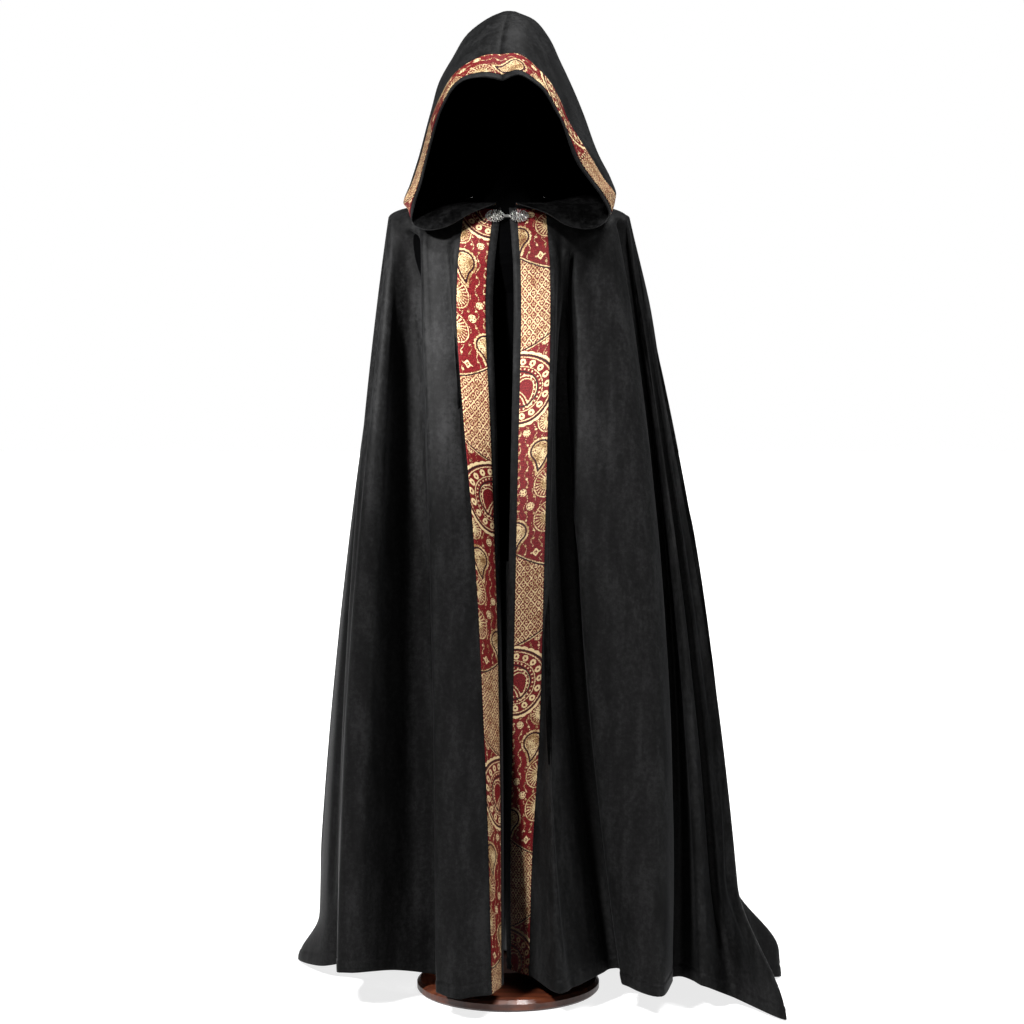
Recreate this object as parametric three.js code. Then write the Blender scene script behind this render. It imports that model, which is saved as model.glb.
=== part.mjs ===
// Hooded wool cloak with brocade edging, worn by a limbless dress form on a round wooden base.
// Millimetres, +Z up, the front faces -Y, and the origin is the centre of the base's underside.
import * as THREE from "three";

// Driving dimensions of the cloth
const WOOL_WALL = 2.2;
const TRIM_WALL = 1.2;
const SEAM_GAP = 0.3;
const TRIM_INSET = 13;
const TRIM_WIDTH = 50;
const FRONT_BAND = 69;
const FLOOR_CLEARANCE = 0.4;

// Neck seam, an oval that rises from the front to the back
const NECK = {
  halfWidth: 105, front: 101, back: 78, zFront: 1398, zSide: 1412, zBack: 1436, roundness: 0.83,
};
// Shoulder ring, where the cloth stops lying on the form and starts to hang
const SHOULDER = {
  halfWidth: 213, front: 138, back: 135, zFront: 1300, zSide: 1386, zBack: 1352, roundness: 1,
};
// Turn round the neck seam at which the edge bands end and the folds begin
const BAND_END_TURN = 60;
// Rows of the panels from neck seam to shoulder ring, and from there to the hem
const YOKE_ROWS = 5;
const FALL_ROWS = 12;
// Rows stand closer together near the hem, where the train spreads
const HEM_CROWDING = 1.35;
// Widest step between two columns along the hem
const COLUMN_WIDTH = 34;
// The strips end just under the neck seam, so the panels have a row there
const TRIM_TOP_LEVEL = -0.97;
const TRIM_TOP_ROW = 1;

// Hood: height above the neck seam, steps from brocade to crown and from crown to neck seam,
// and the most of a short section that the brocade may take
const HOOD_LIFT = 1.1;
const CROWN_CONTROL = 2;
const CROWN_STEPS = 4;
const BACK_STEPS = 8;
const BACK_CROWDING = 1.3;
const SHORT_SECTION = { near: 0.2, far: 0.85 };

// Dress form
const POLE_RADIUS = 16;
const BASE_RADIUS = 165;
const BASE_HEIGHT = 26;
const BASE_ROUNDING = 4;
const BASE_EDGE = 14;
const COLLAR_TOP = 70;
const FORM_GAP = 0.7;
const FORM_EASE = 0.5;
const FORM_COLUMN_STEP = 3;
const TORSO_BOTTOM = 780;
const NECK_TOP = 1530;
const NECK_RADIUS = 54;
const NECK_FLARE = 4;
const NECK_WAIST_DROP = 90;
const NECK_ROOT = { share: 0.72, drop: 9 };
const HEAD = { x: 4, y: -1, z: 1632, halfWidth: 58, halfDepth: 76, halfHeight: 112 };

// Clasp
const PLATE = { width: 34, height: 27, thickness: 2.6, lobes: 8, scallop: 0.1 };
const HOOK_HEIGHT = 5;
const CLASP_Z = 1381;
const LEFT_PLATE_X = -22.5;
const RIGHT_PLATE_X = 19.5;

const rad = THREE.MathUtils.degToRad;
const lerp = THREE.MathUtils.lerp;
const vec = (x, y, z) => new THREE.Vector3(x, y, z);

function rows(columns, values) {
  return values.map((row) => Object.fromEntries(columns.map((name, i) => [name, row[i]])));
}

// Front edges by height: x and y of the edge, and yaw, how far the edge band turns in
const LEFT_EDGE = rows(["z", "x", "y", "yaw"], [
  [1300, -23, -138, 4],
  [1226, -26, -132, 8],
  [1018, -19, -128, 27],
  [880, -16, -124, 42],
  [706, -12, -130, 52],
  [358, -8, -143, 64],
  [45, -8, -147, 72],
]);
const RIGHT_EDGE = rows(["z", "x", "y", "yaw"], [
  [1300, 9, -138, 4],
  [1226, 10, -151, 5],
  [966, 5, -158, 11],
  [706, 0, -142, 16],
  [532, -3, -122, 20],
  [270, -5, -88, 41],
  [50, -2, -58, 52],
]);
const NECK_EDGE_X = { left: -12, right: 2 };

// Hanging folds, one row each, from the left front round the back to the right front.
// turn: degrees round the shoulder ring from the centre front, over the left shoulder
// x, y, z: where the fold meets the hem; bulge: how early it swings out
// sway: sideways drift at half height; kick: share of the swing made late, between from and to
// tuck: how far the fold draws back from the front, most at a quarter of the fall
const FOLDS = rows(["turn", "x", "y", "z", "bulge", "sway", "kick", "from", "to", "tuck"], [
  [29, -50, -222, 45, 0.9, 0, 0, 0.8, 1, 0],
  [36, -85, -230, 42, 0.8, 0, 0, 0.8, 1, -4],
  [46, -119, -198, 45, 0.95, 0, 0, 0.8, 1, 0],
  [55, -132, -85, 45, 0.8, 0, 0, 0.8, 1, 30],
  [66, -195, -100, 58, 0.1, 0, 0, 0.8, 1, 0],
  [75, -254, -150, 68, 0.5, 0, 0, 0.8, 1, -14],
  [82, -293, -140, 65, 0.8, 0, 0, 0.8, 1, -18],
  [90, -303, -70, 56, 0.95, 0, 0, 0.8, 1, 0],
  [97, -292, 22, 40, 0.95, 0, 0, 0.8, 1, 0],
  [105, -345, 72, 20, 0.7, 0, 0.06, 0.9, 1, 0],
  [112, -397, 200, 0, 0.6, 0, 0.2, 0.93, 1, 0],
  [119, -330, 232, 6, 0.4, 0, 0.12, 0.9, 1, 0],
  [126, -370, 330, 0, 0.4, 0, 0.15, 0.88, 1, 0],
  [134, -270, 330, 8, 0.1, 0, 0.1, 0.88, 1, 0],
  [142, -230, 440, 0, 0.3, 0, 0.15, 0.88, 1, 0],
  [152, -140, 370, 8, 0.1, 0, 0.1, 0.88, 1, 0],
  [162, -80, 470, 0, 0.3, 0, 0.15, 0.88, 1, 0],
  [174, 0, 390, 8, 0.1, 0, 0.1, 0.88, 1, 0],
  [186, 90, 476, 0, 0.3, 0, 0.15, 0.88, 1, 0],
  [198, 160, 385, 8, 0.1, 0, 0.1, 0.88, 1, 0],
  [209, 260, 450, 0, 0.3, 0, 0.15, 0.88, 1, 0],
  [220, 290, 345, 8, 0.1, 0, 0.1, 0.88, 1, 0],
  [230, 400, 350, 0, 0.4, 0, 0.15, 0.88, 1, 0],
  [239, 372, 240, 8, 0.3, 0, 0.1, 0.88, 1, 0],
  [248, 480, 190, 0, 0.5, 0, 0.16, 0.88, 1, 0],
  [256, 430, 112, 6, 0.5, 0, 0.1, 0.88, 1, 0],
  [262, 503, 66, 0, 0.5, 0, 0.26, 0.87, 0.965, 0],
  [268, 436, 8, 12, 0.5, 0, 0.12, 0.86, 1, 0],
  [273, 477, -217, 0, 0.61, 0, 0.24, 0.84, 1, 0],
  [278, 395, -122, 16, 0.5, 8, 0.1, 0.84, 1, 0],
  [283, 345, -156, 44, 0.3, 16, 0, 0.8, 1, 0],
  [288, 302, -112, 50, 0.3, 26, 0, 0.8, 1, 22],
  [297, 264, -212, 42, 0.3, 24, 0, 0.8, 1, 0],
  [312, 242, -206, 43, 0.2, 0, 0, 0.8, 1, -8],
  [327, 207, -162, 48, 0, -24, 0, 0.8, 1, 6],
  [330, 190, -88, 56, -0.3, -18, 0, 0.8, 1, 38],
  [332.5, 121, -166, 48, -0.2, -40, 0, 0.8, 1, -4],
  [335, 90, -200, 44, 0, -18, 0, 0.8, 1, 0],
]);
const LEFT_SEAM_FOLD = 7;
const BACK_SEAM_FOLD = 17;
const RIGHT_SEAM_FOLD = 27;

// Hood sections, one row each, from the centre seam down to the clasp.
// f: face edge; t: far edge of the brocade; c: widest point; b: behind it; turn: place on the neck seam
const HOOD_COLUMNS = ["fx", "fy", "fz", "tx", "ty", "tz", "cx", "cy", "cz", "bx", "by", "bz", "turn"];
const HOOD_LEFT = rows(HOOD_COLUMNS, [
  [-9, -185, 1606, -12, -138, 1661, 5, 2, 1751, 4, 150, 1590, 180],
  [-40, -190, 1611, -38, -140, 1656, -28, 0, 1741, -46, 142, 1580, 162],
  [-75, -188, 1606, -75, -135, 1636, -70, 0, 1709, -82, 122, 1560, 145],
  [-94, -187, 1591, -96, -133, 1617, -97, 2, 1664, -104, 105, 1535, 130],
  [-105, -186, 1573, -113, -130, 1588, -121, 0, 1619, -122, 88, 1510, 118],
  [-117, -183, 1548, -130, -123, 1552, -134, 0, 1565, -132, 72, 1488, 107],
  [-137, -172, 1480, -150, -112, 1483, -152, -10, 1494, -140, 50, 1458, 96],
  [-149, -155, 1436, -166, -96, 1439, -166, -14, 1452, -142, 28, 1440, 86],
  [-162, -134, 1398, -181, -78, 1407, -170, -20, 1429, -136, 6, 1431, 77],
  [-166, -128, 1370, -166, -84, 1404, -150, -34, 1424, -120, -20, 1424, 67],
  [-140, -142, 1356, -136, -100, 1392, -122, -60, 1412, -98, -48, 1414, 55],
  [-104, -145, 1362, -100, -112, 1396, -90, -82, 1406, -72, -78, 1408, 41],
  [-62, -134, 1386, -61, -118, 1399, -58, -106, 1404, -55, -98, 1404, 27],
  [-22, -122, 1402, -21, -116, 1404, -20.5, -111, 1404, -20, -105, 1402, 8],
]);
const HOOD_RIGHT = rows(HOOD_COLUMNS, [
  [-9, -185, 1606, -12, -138, 1661, 5, 2, 1751, 4, 150, 1590, 180],
  [18, -190, 1615, 20, -140, 1656, 48, 0, 1734, 58, 142, 1580, 198],
  [53, -187, 1596, 56, -135, 1626, 72, 2, 1702, 94, 122, 1560, 215],
  [66, -186, 1582, 73, -133, 1606, 90, 4, 1664, 118, 105, 1535, 230],
  [81, -184, 1556, 91, -129, 1573, 116, 5, 1610, 136, 88, 1510, 242],
  [92, -180, 1538, 103, -120, 1546, 137, 8, 1563, 148, 72, 1488, 253],
  [116, -168, 1474, 145, -114, 1479, 163, -4, 1494, 154, 50, 1458, 264],
  [138, -154, 1444, 165, -98, 1449, 182, -12, 1456, 156, 28, 1442, 274],
  [161, -134, 1415, 186, -82, 1421, 186, -18, 1433, 150, 6, 1433, 283],
  [176, -122, 1383, 184, -76, 1410, 168, -34, 1426, 132, -20, 1426, 293],
  [150, -138, 1360, 148, -98, 1394, 130, -58, 1413, 104, -48, 1415, 305],
  [106, -144, 1362, 102, -112, 1396, 92, -82, 1406, 74, -78, 1408, 319],
  [64, -134, 1386, 63, -118, 1399, 60, -106, 1404, 57, -98, 1404, 332],
  [16, -122, 1402, 15, -116, 1404, 14, -111, 1404, 13, -105, 1402, 354.5],
]);

// Smooth curve through the points, with knots spaced by the square root of each chord
function splinePoint(points, segment, share) {
  const last = points.length - 1;
  const p1 = points[segment];
  const p2 = points[segment + 1];
  const p0 = segment > 0 ? points[segment - 1] : p1.clone().multiplyScalar(2).sub(p2);
  const p3 = segment + 2 <= last ? points[segment + 2] : p2.clone().multiplyScalar(2).sub(p1);
  const knot = (a, b) => Math.max(Math.sqrt(a.distanceTo(b)), 0.01);
  const t1 = knot(p0, p1);
  const t2 = t1 + knot(p1, p2);
  const t3 = t2 + knot(p2, p3);
  const t = lerp(t1, t2, share);
  const mix = (a, b, ta, tb) => a.clone().lerp(b, (t - ta) / (tb - ta));
  const a1 = mix(p0, p1, 0, t1);
  const a2 = mix(p1, p2, t1, t2);
  const a3 = mix(p2, p3, t2, t3);
  const b1 = mix(a1, a2, 0, t2);
  const b2 = mix(a2, a3, t1, t3);
  return mix(b1, b2, t1, t2);
}

function edgeAt(edge, z) {
  const points = edge.map((row) => vec(row.x, row.y, row.z));
  const yaws = edge.map((row) => vec(row.yaw, 0, row.z));
  let i = 0;
  while (i < edge.length - 2 && z < edge[i + 1].z) {
    i += 1;
  }
  const share = THREE.MathUtils.clamp((edge[i].z - z) / (edge[i].z - edge[i + 1].z), 0, 1);
  const at = splinePoint(points, i, share);
  return { x: at.x, y: at.y, yaw: rad(splinePoint(yaws, i, share).x) };
}

// Oval round the form at an angle from the centre front; roundness below 1 squares it
function ovalPoint(oval, turn) {
  const toSide = Math.sin(rad(turn));
  const toFront = Math.cos(rad(turn));
  const depth = toFront > 0 ? oval.front : oval.back;
  const zCentre = toFront > 0 ? oval.zFront : oval.zBack;
  const z = lerp(oval.zSide, zCentre, toFront * toFront);
  const squared = (value) => Math.sign(value) * Math.abs(value) ** oval.roundness;
  return vec(-oval.halfWidth * squared(toSide), -depth * squared(toFront), z);
}

// Folds crowd together round the neck seam, clear of the bands in front
function neckTurn(turn) {
  const end = turn < 180 ? FOLDS[0].turn : FOLDS[FOLDS.length - 1].turn;
  const bandEnd = turn < 180 ? BAND_END_TURN : 360 - BAND_END_TURN;
  return 180 + (turn - 180) * (bandEnd - 180) / (end - 180);
}

// Cloth that lies on the form: flat at the neck, turned down at the shoulder ring
function yokePoint(turn, share) {
  const neck = ovalPoint(NECK, neckTurn(turn));
  const shoulder = ovalPoint(SHOULDER, turn);
  const toFront = Math.max(0, Math.cos(rad(turn)));
  const out = Math.sin(share * Math.PI / 2);
  const drop = lerp(1 - Math.cos(share * Math.PI / 2), share, toFront * toFront);
  return vec(lerp(neck.x, shoulder.x, out), lerp(neck.y, shoulder.y, out), lerp(neck.z, shoulder.z, drop));
}

// Cloth that hangs from the shoulder ring to the hem
function fallPoint(fold, share) {
  const top = ovalPoint(SHOULDER, fold.turn);
  const swing = share * (1 + fold.bulge * (1 - share)) * (1 - fold.kick);
  const across = swing + fold.kick * THREE.MathUtils.smoothstep(share, fold.from, fold.to);
  const drift = 4 * fold.sway * share * (1 - share);
  const tuck = fold.tuck * Math.sin(Math.PI * Math.sqrt(share));
  const hemZ = Math.max(fold.z, WOOL_WALL + FLOOR_CLEARANCE);
  const x = lerp(top.x, fold.x, across) + drift;
  const y = lerp(top.y, fold.y, across) + tuck;
  return vec(x, y, lerp(top.z, hemZ, share));
}

// Point of a front band, inset from the edge; side is -1 on the left, 1 on the right
function bandPoint(side, level, inset) {
  const edge = side < 0 ? LEFT_EDGE : RIGHT_EDGE;
  const z = lerp(SHOULDER.zFront, edge[edge.length - 1].z, Math.max(level, 0));
  const at = edgeAt(edge, z);
  const hanging = vec(at.x + side * inset * Math.cos(at.yaw), at.y - inset * Math.sin(at.yaw), z);
  if (level >= 0) {
    return hanging;
  }
  const x = (side < 0 ? NECK_EDGE_X.left : NECK_EDGE_X.right) + side * inset;
  const turn = THREE.MathUtils.radToDeg(Math.asin((Math.abs(x) / NECK.halfWidth) ** (1 / NECK.roundness)));
  const neck = ovalPoint(NECK, turn);
  const share = 1 + level;
  const out = Math.sin(share * Math.PI / 2);
  return vec(lerp(x, hanging.x, share), lerp(neck.y, hanging.y, out), lerp(neck.z, z, share));
}

// level runs from -1 at the neck seam through 0 at the shoulder ring to 1 at the hem
function ringControls(level) {
  const station = (fold) => (level < 0 ? yokePoint(fold.turn, 1 + level) : fallPoint(fold, level));
  const stations = FOLDS.map(station);
  const half = FRONT_BAND / 2;
  const left = [half, FRONT_BAND].map((inset) => bandPoint(-1, level, inset));
  const right = [FRONT_BAND, half].map((inset) => bandPoint(1, level, inset));
  return [...left, ...stations, ...right];
}

// Column places round the ring: straight bands at both ends, a spline between
const BAND_STOPS = [0, TRIM_INSET, TRIM_INSET + TRIM_WIDTH / 2, TRIM_INSET + TRIM_WIDTH];
const hemRing = ringControls(1);
const columns = BAND_STOPS.map((inset) => ({ band: "left", inset }));
for (let segment = 1; segment < hemRing.length - 2; segment += 1) {
  const chord = hemRing[segment].distanceTo(hemRing[segment + 1]);
  const steps = Math.max(2, Math.round(chord / COLUMN_WIDTH));
  for (let i = 0; i < steps; i += 1) {
    columns.push({ segment, share: i / steps });
  }
}
columns.push({ segment: hemRing.length - 3, share: 1 });
columns.push(...BAND_STOPS.toReversed().map((inset) => ({ band: "right", inset })));

function clothPoint(controls, level, column) {
  if (column.band === "left") {
    return bandPoint(-1, level, column.inset);
  }
  if (column.band === "right") {
    return bandPoint(1, level, column.inset);
  }
  return splinePoint(controls, column.segment, column.share);
}

const SHOULDER_ROW = YOKE_ROWS + 1;
const levels = [-1, TRIM_TOP_LEVEL];
for (let i = 1; i < YOKE_ROWS; i += 1) {
  levels.push(i / YOKE_ROWS - 1);
}
for (let i = 0; i <= FALL_ROWS; i += 1) {
  levels.push(1 - (1 - i / FALL_ROWS) ** HEM_CROWDING);
}

// Vertex normals of a grid of points, out of the cloth's right side
function gridNormals(grid) {
  const height = grid.length;
  const width = grid[0].length;
  return grid.map((row, r) => row.map((_, c) => {
    const down = grid[Math.min(r + 1, height - 1)][c].clone().sub(grid[Math.max(r - 1, 0)][c]);
    const along = row[Math.min(c + 1, width - 1)].clone().sub(row[Math.max(c - 1, 0)]);
    return along.cross(down).normalize();
  }));
}

function shifted(grid, normals, distance) {
  return grid.map((row, r) => row.map((p, c) => p.clone().addScaledVector(normals[r][c], distance)));
}

// Closed wall between an outer grid and an inner grid
function wallGeometry(outer, inner) {
  const height = outer.length;
  const width = outer[0].length;
  const positions = [];
  for (const grid of [outer, inner]) {
    for (const row of grid) {
      for (const p of row) {
        positions.push(p.x, p.y, p.z);
      }
    }
  }
  const outside = (r, c) => r * width + c;
  const inside = (r, c) => height * width + r * width + c;
  const faces = [];
  const quad = (a, b, c, d) => faces.push(a, c, b, a, d, c);
  for (let r = 0; r < height - 1; r += 1) {
    for (let c = 0; c < width - 1; c += 1) {
      quad(outside(r, c), outside(r + 1, c), outside(r + 1, c + 1), outside(r, c + 1));
      quad(inside(r, c), inside(r, c + 1), inside(r + 1, c + 1), inside(r + 1, c));
    }
    quad(outside(r, 0), inside(r, 0), inside(r + 1, 0), outside(r + 1, 0));
    const end = width - 1;
    quad(outside(r, end), outside(r + 1, end), inside(r + 1, end), inside(r, end));
  }
  for (let c = 0; c < width - 1; c += 1) {
    const end = height - 1;
    quad(outside(0, c), outside(0, c + 1), inside(0, c + 1), inside(0, c));
    quad(outside(end, c), inside(end, c), inside(end, c + 1), outside(end, c + 1));
  }
  const geometry = new THREE.BufferGeometry();
  geometry.setAttribute("position", new THREE.Float32BufferAttribute(positions, 3));
  geometry.setIndex(faces);
  return geometry;
}

const object = new THREE.Group();
const wool = new THREE.MeshStandardMaterial({ color: 0x26272a, roughness: 0.95, metalness: 0 });
const brocade = new THREE.MeshStandardMaterial({ color: 0xa87a4a, roughness: 0.6, metalness: 0 });
const silver = new THREE.MeshStandardMaterial({ color: 0x8f9092, roughness: 0.35, metalness: 0.9 });
const formCover = new THREE.MeshStandardMaterial({ color: 0x121214, roughness: 0.85, metalness: 0 });
const poleSteel = new THREE.MeshStandardMaterial({ color: 0x3a3a3c, roughness: 0.35, metalness: 0.9 });
const wood = new THREE.MeshStandardMaterial({ color: 0x6b2a12, roughness: 0.35, metalness: 0 });

function addPart(name, geometry, material) {
  const mesh = new THREE.Mesh(geometry, material);
  mesh.name = name;
  object.add(mesh);
  return mesh;
}

// Body of the cloak
const ringGrid = levels.map((level) => {
  const controls = ringControls(level);
  return columns.map((column) => clothPoint(controls, level, column));
});
const ringNormals = gridNormals(ringGrid);

const aboveFloor = (p) => vec(p.x, p.y, Math.max(p.z, FLOOR_CLEARANCE));
const floorSafe = (grid) => grid.map((row) => row.map(aboveFloor));

function cut(grid, from, to) {
  return grid.map((row) => row.slice(from, to + 1));
}

// A panel between two columns; a seam column steps back half the seam gap
function addPanel(name, from, to) {
  const outer = cut(ringGrid, from, to).map((row) => row.map((p) => p.clone()));
  const normals = cut(ringNormals, from, to);
  for (const row of outer) {
    const last = row.length - 1;
    if (from > 0) {
      row[0].lerp(row[1], SEAM_GAP / 2 / row[0].distanceTo(row[1]));
    }
    if (to < columns.length - 1) {
      row[last].lerp(row[last - 1], SEAM_GAP / 2 / row[last].distanceTo(row[last - 1]));
    }
  }
  addPart(name, wallGeometry(outer, floorSafe(shifted(outer, normals, -WOOL_WALL))), wool);
}

// Two band controls come before the first fold
const FIRST_FOLD_CONTROL = 2;
const startsAt = (column, control) => column.segment === control && column.share === 0;
const columnOfFold = (fold) => columns.findIndex((column) => startsAt(column, fold + FIRST_FOLD_CONTROL));
const leftSeam = columnOfFold(LEFT_SEAM_FOLD);
const backSeam = columnOfFold(BACK_SEAM_FOLD);
const rightSeam = columnOfFold(RIGHT_SEAM_FOLD);
addPanel("front_left", 0, leftSeam);
addPanel("back_left", leftSeam, backSeam);
addPanel("back_right", backSeam, rightSeam);
addPanel("front_right", rightSeam, columns.length - 1);

// Brocade strips down both fronts, made from the panel's own columns
function addFrontTrim(name, from) {
  const width = 2;
  const panel = cut(ringGrid, from, from + width).slice(TRIM_TOP_ROW);
  const normals = cut(ringNormals, from, from + width).slice(TRIM_TOP_ROW);
  const inner = shifted(panel, normals, SEAM_GAP);
  const outer = shifted(panel, normals, SEAM_GAP + TRIM_WALL);
  addPart(name, wallGeometry(outer, inner), brocade);
}
addFrontTrim("trim_front_left", 1);
addFrontTrim("trim_front_right", columns.length - 4);

// Hood: face edge, far edge of the brocade, crown, back and neck seam of one section
function hoodSection(row) {
  const neck = ovalPoint(NECK, row.turn);
  neck.z += HOOD_LIFT;
  return [vec(row.fx, row.fy, row.fz), vec(row.tx, row.ty, row.tz), vec(row.cx, row.cy, row.cz),
    vec(row.bx, row.by, row.bz), neck];
}

// Section curve in steps of like length, with stops at both edges of the brocade and at the widest point
function sampleSection(points) {
  const fineSteps = 12;
  const fine = [];
  for (let segment = 0; segment < points.length - 1; segment += 1) {
    for (let i = 0; i < fineSteps; i += 1) {
      fine.push(splinePoint(points, segment, i / fineSteps));
    }
  }
  fine.push(points[points.length - 1].clone());
  const lengths = [0];
  for (let i = 1; i < fine.length; i += 1) {
    lengths.push(lengths[i - 1] + fine[i].distanceTo(fine[i - 1]));
  }
  const at = (distance) => {
    let i = 1;
    while (i < lengths.length - 1 && lengths[i] < distance) {
      i += 1;
    }
    const share = (distance - lengths[i - 1]) / (lengths[i] - lengths[i - 1]);
    return fine[i - 1].clone().lerp(fine[i], share);
  };
  const total = lengths[lengths.length - 1];
  const crown = lengths[CROWN_CONTROL * fineSteps];
  const near = Math.min(TRIM_INSET, SHORT_SECTION.near * crown);
  const far = Math.min(TRIM_INSET + TRIM_WIDTH, SHORT_SECTION.far * crown);
  const stops = [0, near, (near + far) / 2, far];
  for (let i = 1; i <= CROWN_STEPS; i += 1) {
    stops.push(lerp(far, crown, i / CROWN_STEPS));
  }
  for (let i = 1; i <= BACK_STEPS; i += 1) {
    stops.push(lerp(crown, total, (i / BACK_STEPS) ** BACK_CROWDING));
  }
  return stops.map(at);
}

function hoodGrid(table) {
  const sections = table.map(hoodSection);
  const dense = [];
  for (let segment = 0; segment < sections.length - 1; segment += 1) {
    const lines = sections[0].map((_, k) => sections.map((section) => section[k]));
    for (const share of [0, 0.5]) {
      dense.push(lines.map((line) => splinePoint(line, segment, share)));
    }
  }
  dense.push(sections[sections.length - 1]);
  return dense.map(sampleSection);
}

const leftHalf = hoodGrid(HOOD_LEFT);
const rightHalf = hoodGrid(HOOD_RIGHT);
const wholeHood = [...rightHalf.toReversed(), ...leftHalf.slice(1)];
const hoodNormals = gridNormals(wholeHood);
const crownRow = rightHalf.length - 1;

function addHoodHalf(name, from, to, seamRow) {
  const outer = wholeHood.slice(from, to + 1).map((row) => row.map((p) => p.clone()));
  const normals = hoodNormals.slice(from, to + 1);
  const seam = outer[seamRow];
  const next = outer[seamRow === 0 ? 1 : seamRow - 1];
  seam.forEach((p, c) => p.lerp(next[c], SEAM_GAP / 2 / p.distanceTo(next[c])));
  addPart(name, wallGeometry(outer, shifted(outer, normals, -WOOL_WALL)), wool);
}
addHoodHalf("hood_right", 0, crownRow, crownRow);
addHoodHalf("hood_left", crownRow, wholeHood.length - 1, 0);

const hoodBand = cut(wholeHood, 1, 3);
const hoodBandNormals = cut(hoodNormals, 1, 3);
addPart("trim_hood", wallGeometry(shifted(hoodBand, hoodBandNormals, SEAM_GAP + TRIM_WALL),
  shifted(hoodBand, hoodBandNormals, SEAM_GAP)), brocade);

// Closed body through rings of points, capped flat at both ends
function ringsGeometry(rings) {
  const sides = rings[0].length;
  const positions = [];
  for (const ring of rings) {
    for (const p of ring) {
      positions.push(p.x, p.y, p.z);
    }
  }
  const centre = (ring) => ring.reduce((sum, p) => sum.add(p), vec(0, 0, 0)).divideScalar(sides);
  const topCentre = centre(rings[0]);
  const bottomCentre = centre(rings[rings.length - 1]);
  positions.push(topCentre.x, topCentre.y, topCentre.z, bottomCentre.x, bottomCentre.y, bottomCentre.z);
  const topIndex = rings.length * sides;
  const faces = [];
  for (let i = 0; i < sides; i += 1) {
    const j = (i + 1) % sides;
    for (let r = 0; r < rings.length - 1; r += 1) {
      const [a, b, c, d] = [r * sides + i, (r + 1) * sides + i, (r + 1) * sides + j, r * sides + j];
      faces.push(a, c, b, a, d, c);
    }
    const base = (rings.length - 1) * sides;
    faces.push(topIndex, j, i, topIndex + 1, base + i, base + j);
  }
  const geometry = new THREE.BufferGeometry();
  geometry.setAttribute("position", new THREE.Float32BufferAttribute(positions, 3));
  geometry.setIndex(faces);
  return geometry;
}

// Form body, from the neck's flat top down; its shoulders follow the cloth's own columns from inside
const FORM_RINGS = rows(["z", "halfWidth", "front", "back"], [
  [1250, 178, 112, 116],
  [1170, 160, 100, 108],
  [1050, 130, 80, 92],
  [940, 148, 78, 104],
  [850, 163, 76, 114],
  [TORSO_BOTTOM + 8, 160, 70, 112],
  [TORSO_BOTTOM, 150, 62, 104],
]);
const formColumns = columns.map((_, c) => c).filter((c) => c % FORM_COLUMN_STEP === 0);
const shoulderRing = ringGrid[SHOULDER_ROW];
const formTurns = formColumns.map((c) => {
  const p = shoulderRing[c];
  return THREE.MathUtils.radToDeg(Math.atan2(-p.x / SHOULDER.halfWidth, -p.y / SHOULDER.front));
});

function ovalRing(halfWidth, front, back, z) {
  const oval = { halfWidth, front, back, zFront: z, zSide: z, zBack: z, roundness: 1 };
  return formTurns.map((turn) => ovalPoint(oval, turn));
}

function neckRootPoint(turn) {
  const p = ovalPoint(NECK, turn);
  return vec(p.x * NECK_ROOT.share, p.y * NECK_ROOT.share, p.z - NECK_ROOT.drop);
}

const neckRings = [
  ovalRing(NECK_RADIUS - NECK_FLARE, NECK_RADIUS, NECK_RADIUS - NECK_FLARE, NECK_TOP),
  ovalRing(NECK_RADIUS, NECK_RADIUS + NECK_FLARE, NECK_RADIUS, NECK_TOP - NECK_WAIST_DROP),
  formTurns.map(neckRootPoint),
];
const shoulderRings = [];
for (let r = 2; r <= SHOULDER_ROW; r += 1) {
  const gap = WOOL_WALL + FORM_GAP + FORM_EASE * (r - 2) ** 2;
  shoulderRings.push(formColumns.map((c) => ringGrid[r][c].clone().addScaledVector(ringNormals[r][c], -gap)));
}
const bodyRings = FORM_RINGS.map((ring) => ovalRing(ring.halfWidth, ring.front, ring.back, ring.z));
addPart("form_torso", ringsGeometry([...neckRings, ...shoulderRings, ...bodyRings]), formCover);

// Head: an egg with a flat underside that stands on the neck
const HEAD_RINGS = 11;
const HEAD_SIDES = 36;
const headTurns = Array.from({ length: HEAD_SIDES }, (_, i) => 2 * Math.PI * i / HEAD_SIDES);
const headRings = [];
const headFloor = Math.acos((NECK_TOP + SEAM_GAP - HEAD.z) / HEAD.halfHeight);
for (let i = 1; i <= HEAD_RINGS; i += 1) {
  const angle = headFloor * i / HEAD_RINGS;
  const girth = Math.sin(angle);
  const z = HEAD.z + HEAD.halfHeight * Math.cos(angle);
  headRings.push(headTurns.map((turn) => vec(HEAD.x - HEAD.halfWidth * girth * Math.sin(turn),
    HEAD.y - HEAD.halfDepth * girth * Math.cos(turn), z)));
}
const headTop = vec(HEAD.x, HEAD.y, HEAD.z + HEAD.halfHeight);
const topCap = headRings[0].map((p) => headTop.clone().lerp(p, 0.12).setZ(headTop.z));
addPart("form_head", ringsGeometry([topCap, ...headRings]), formCover);

// Pole between the base's collar and the body
const POLE_SIDES = 32;
const poleLength = TORSO_BOTTOM - COLLAR_TOP - 2 * SEAM_GAP;
const poleGeometry = new THREE.CylinderGeometry(POLE_RADIUS, POLE_RADIUS, poleLength, POLE_SIDES);
const pole = addPart("form_pole", poleGeometry, poleSteel);
pole.rotation.x = Math.PI / 2;
pole.position.z = COLLAR_TOP + SEAM_GAP + poleLength / 2;

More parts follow.
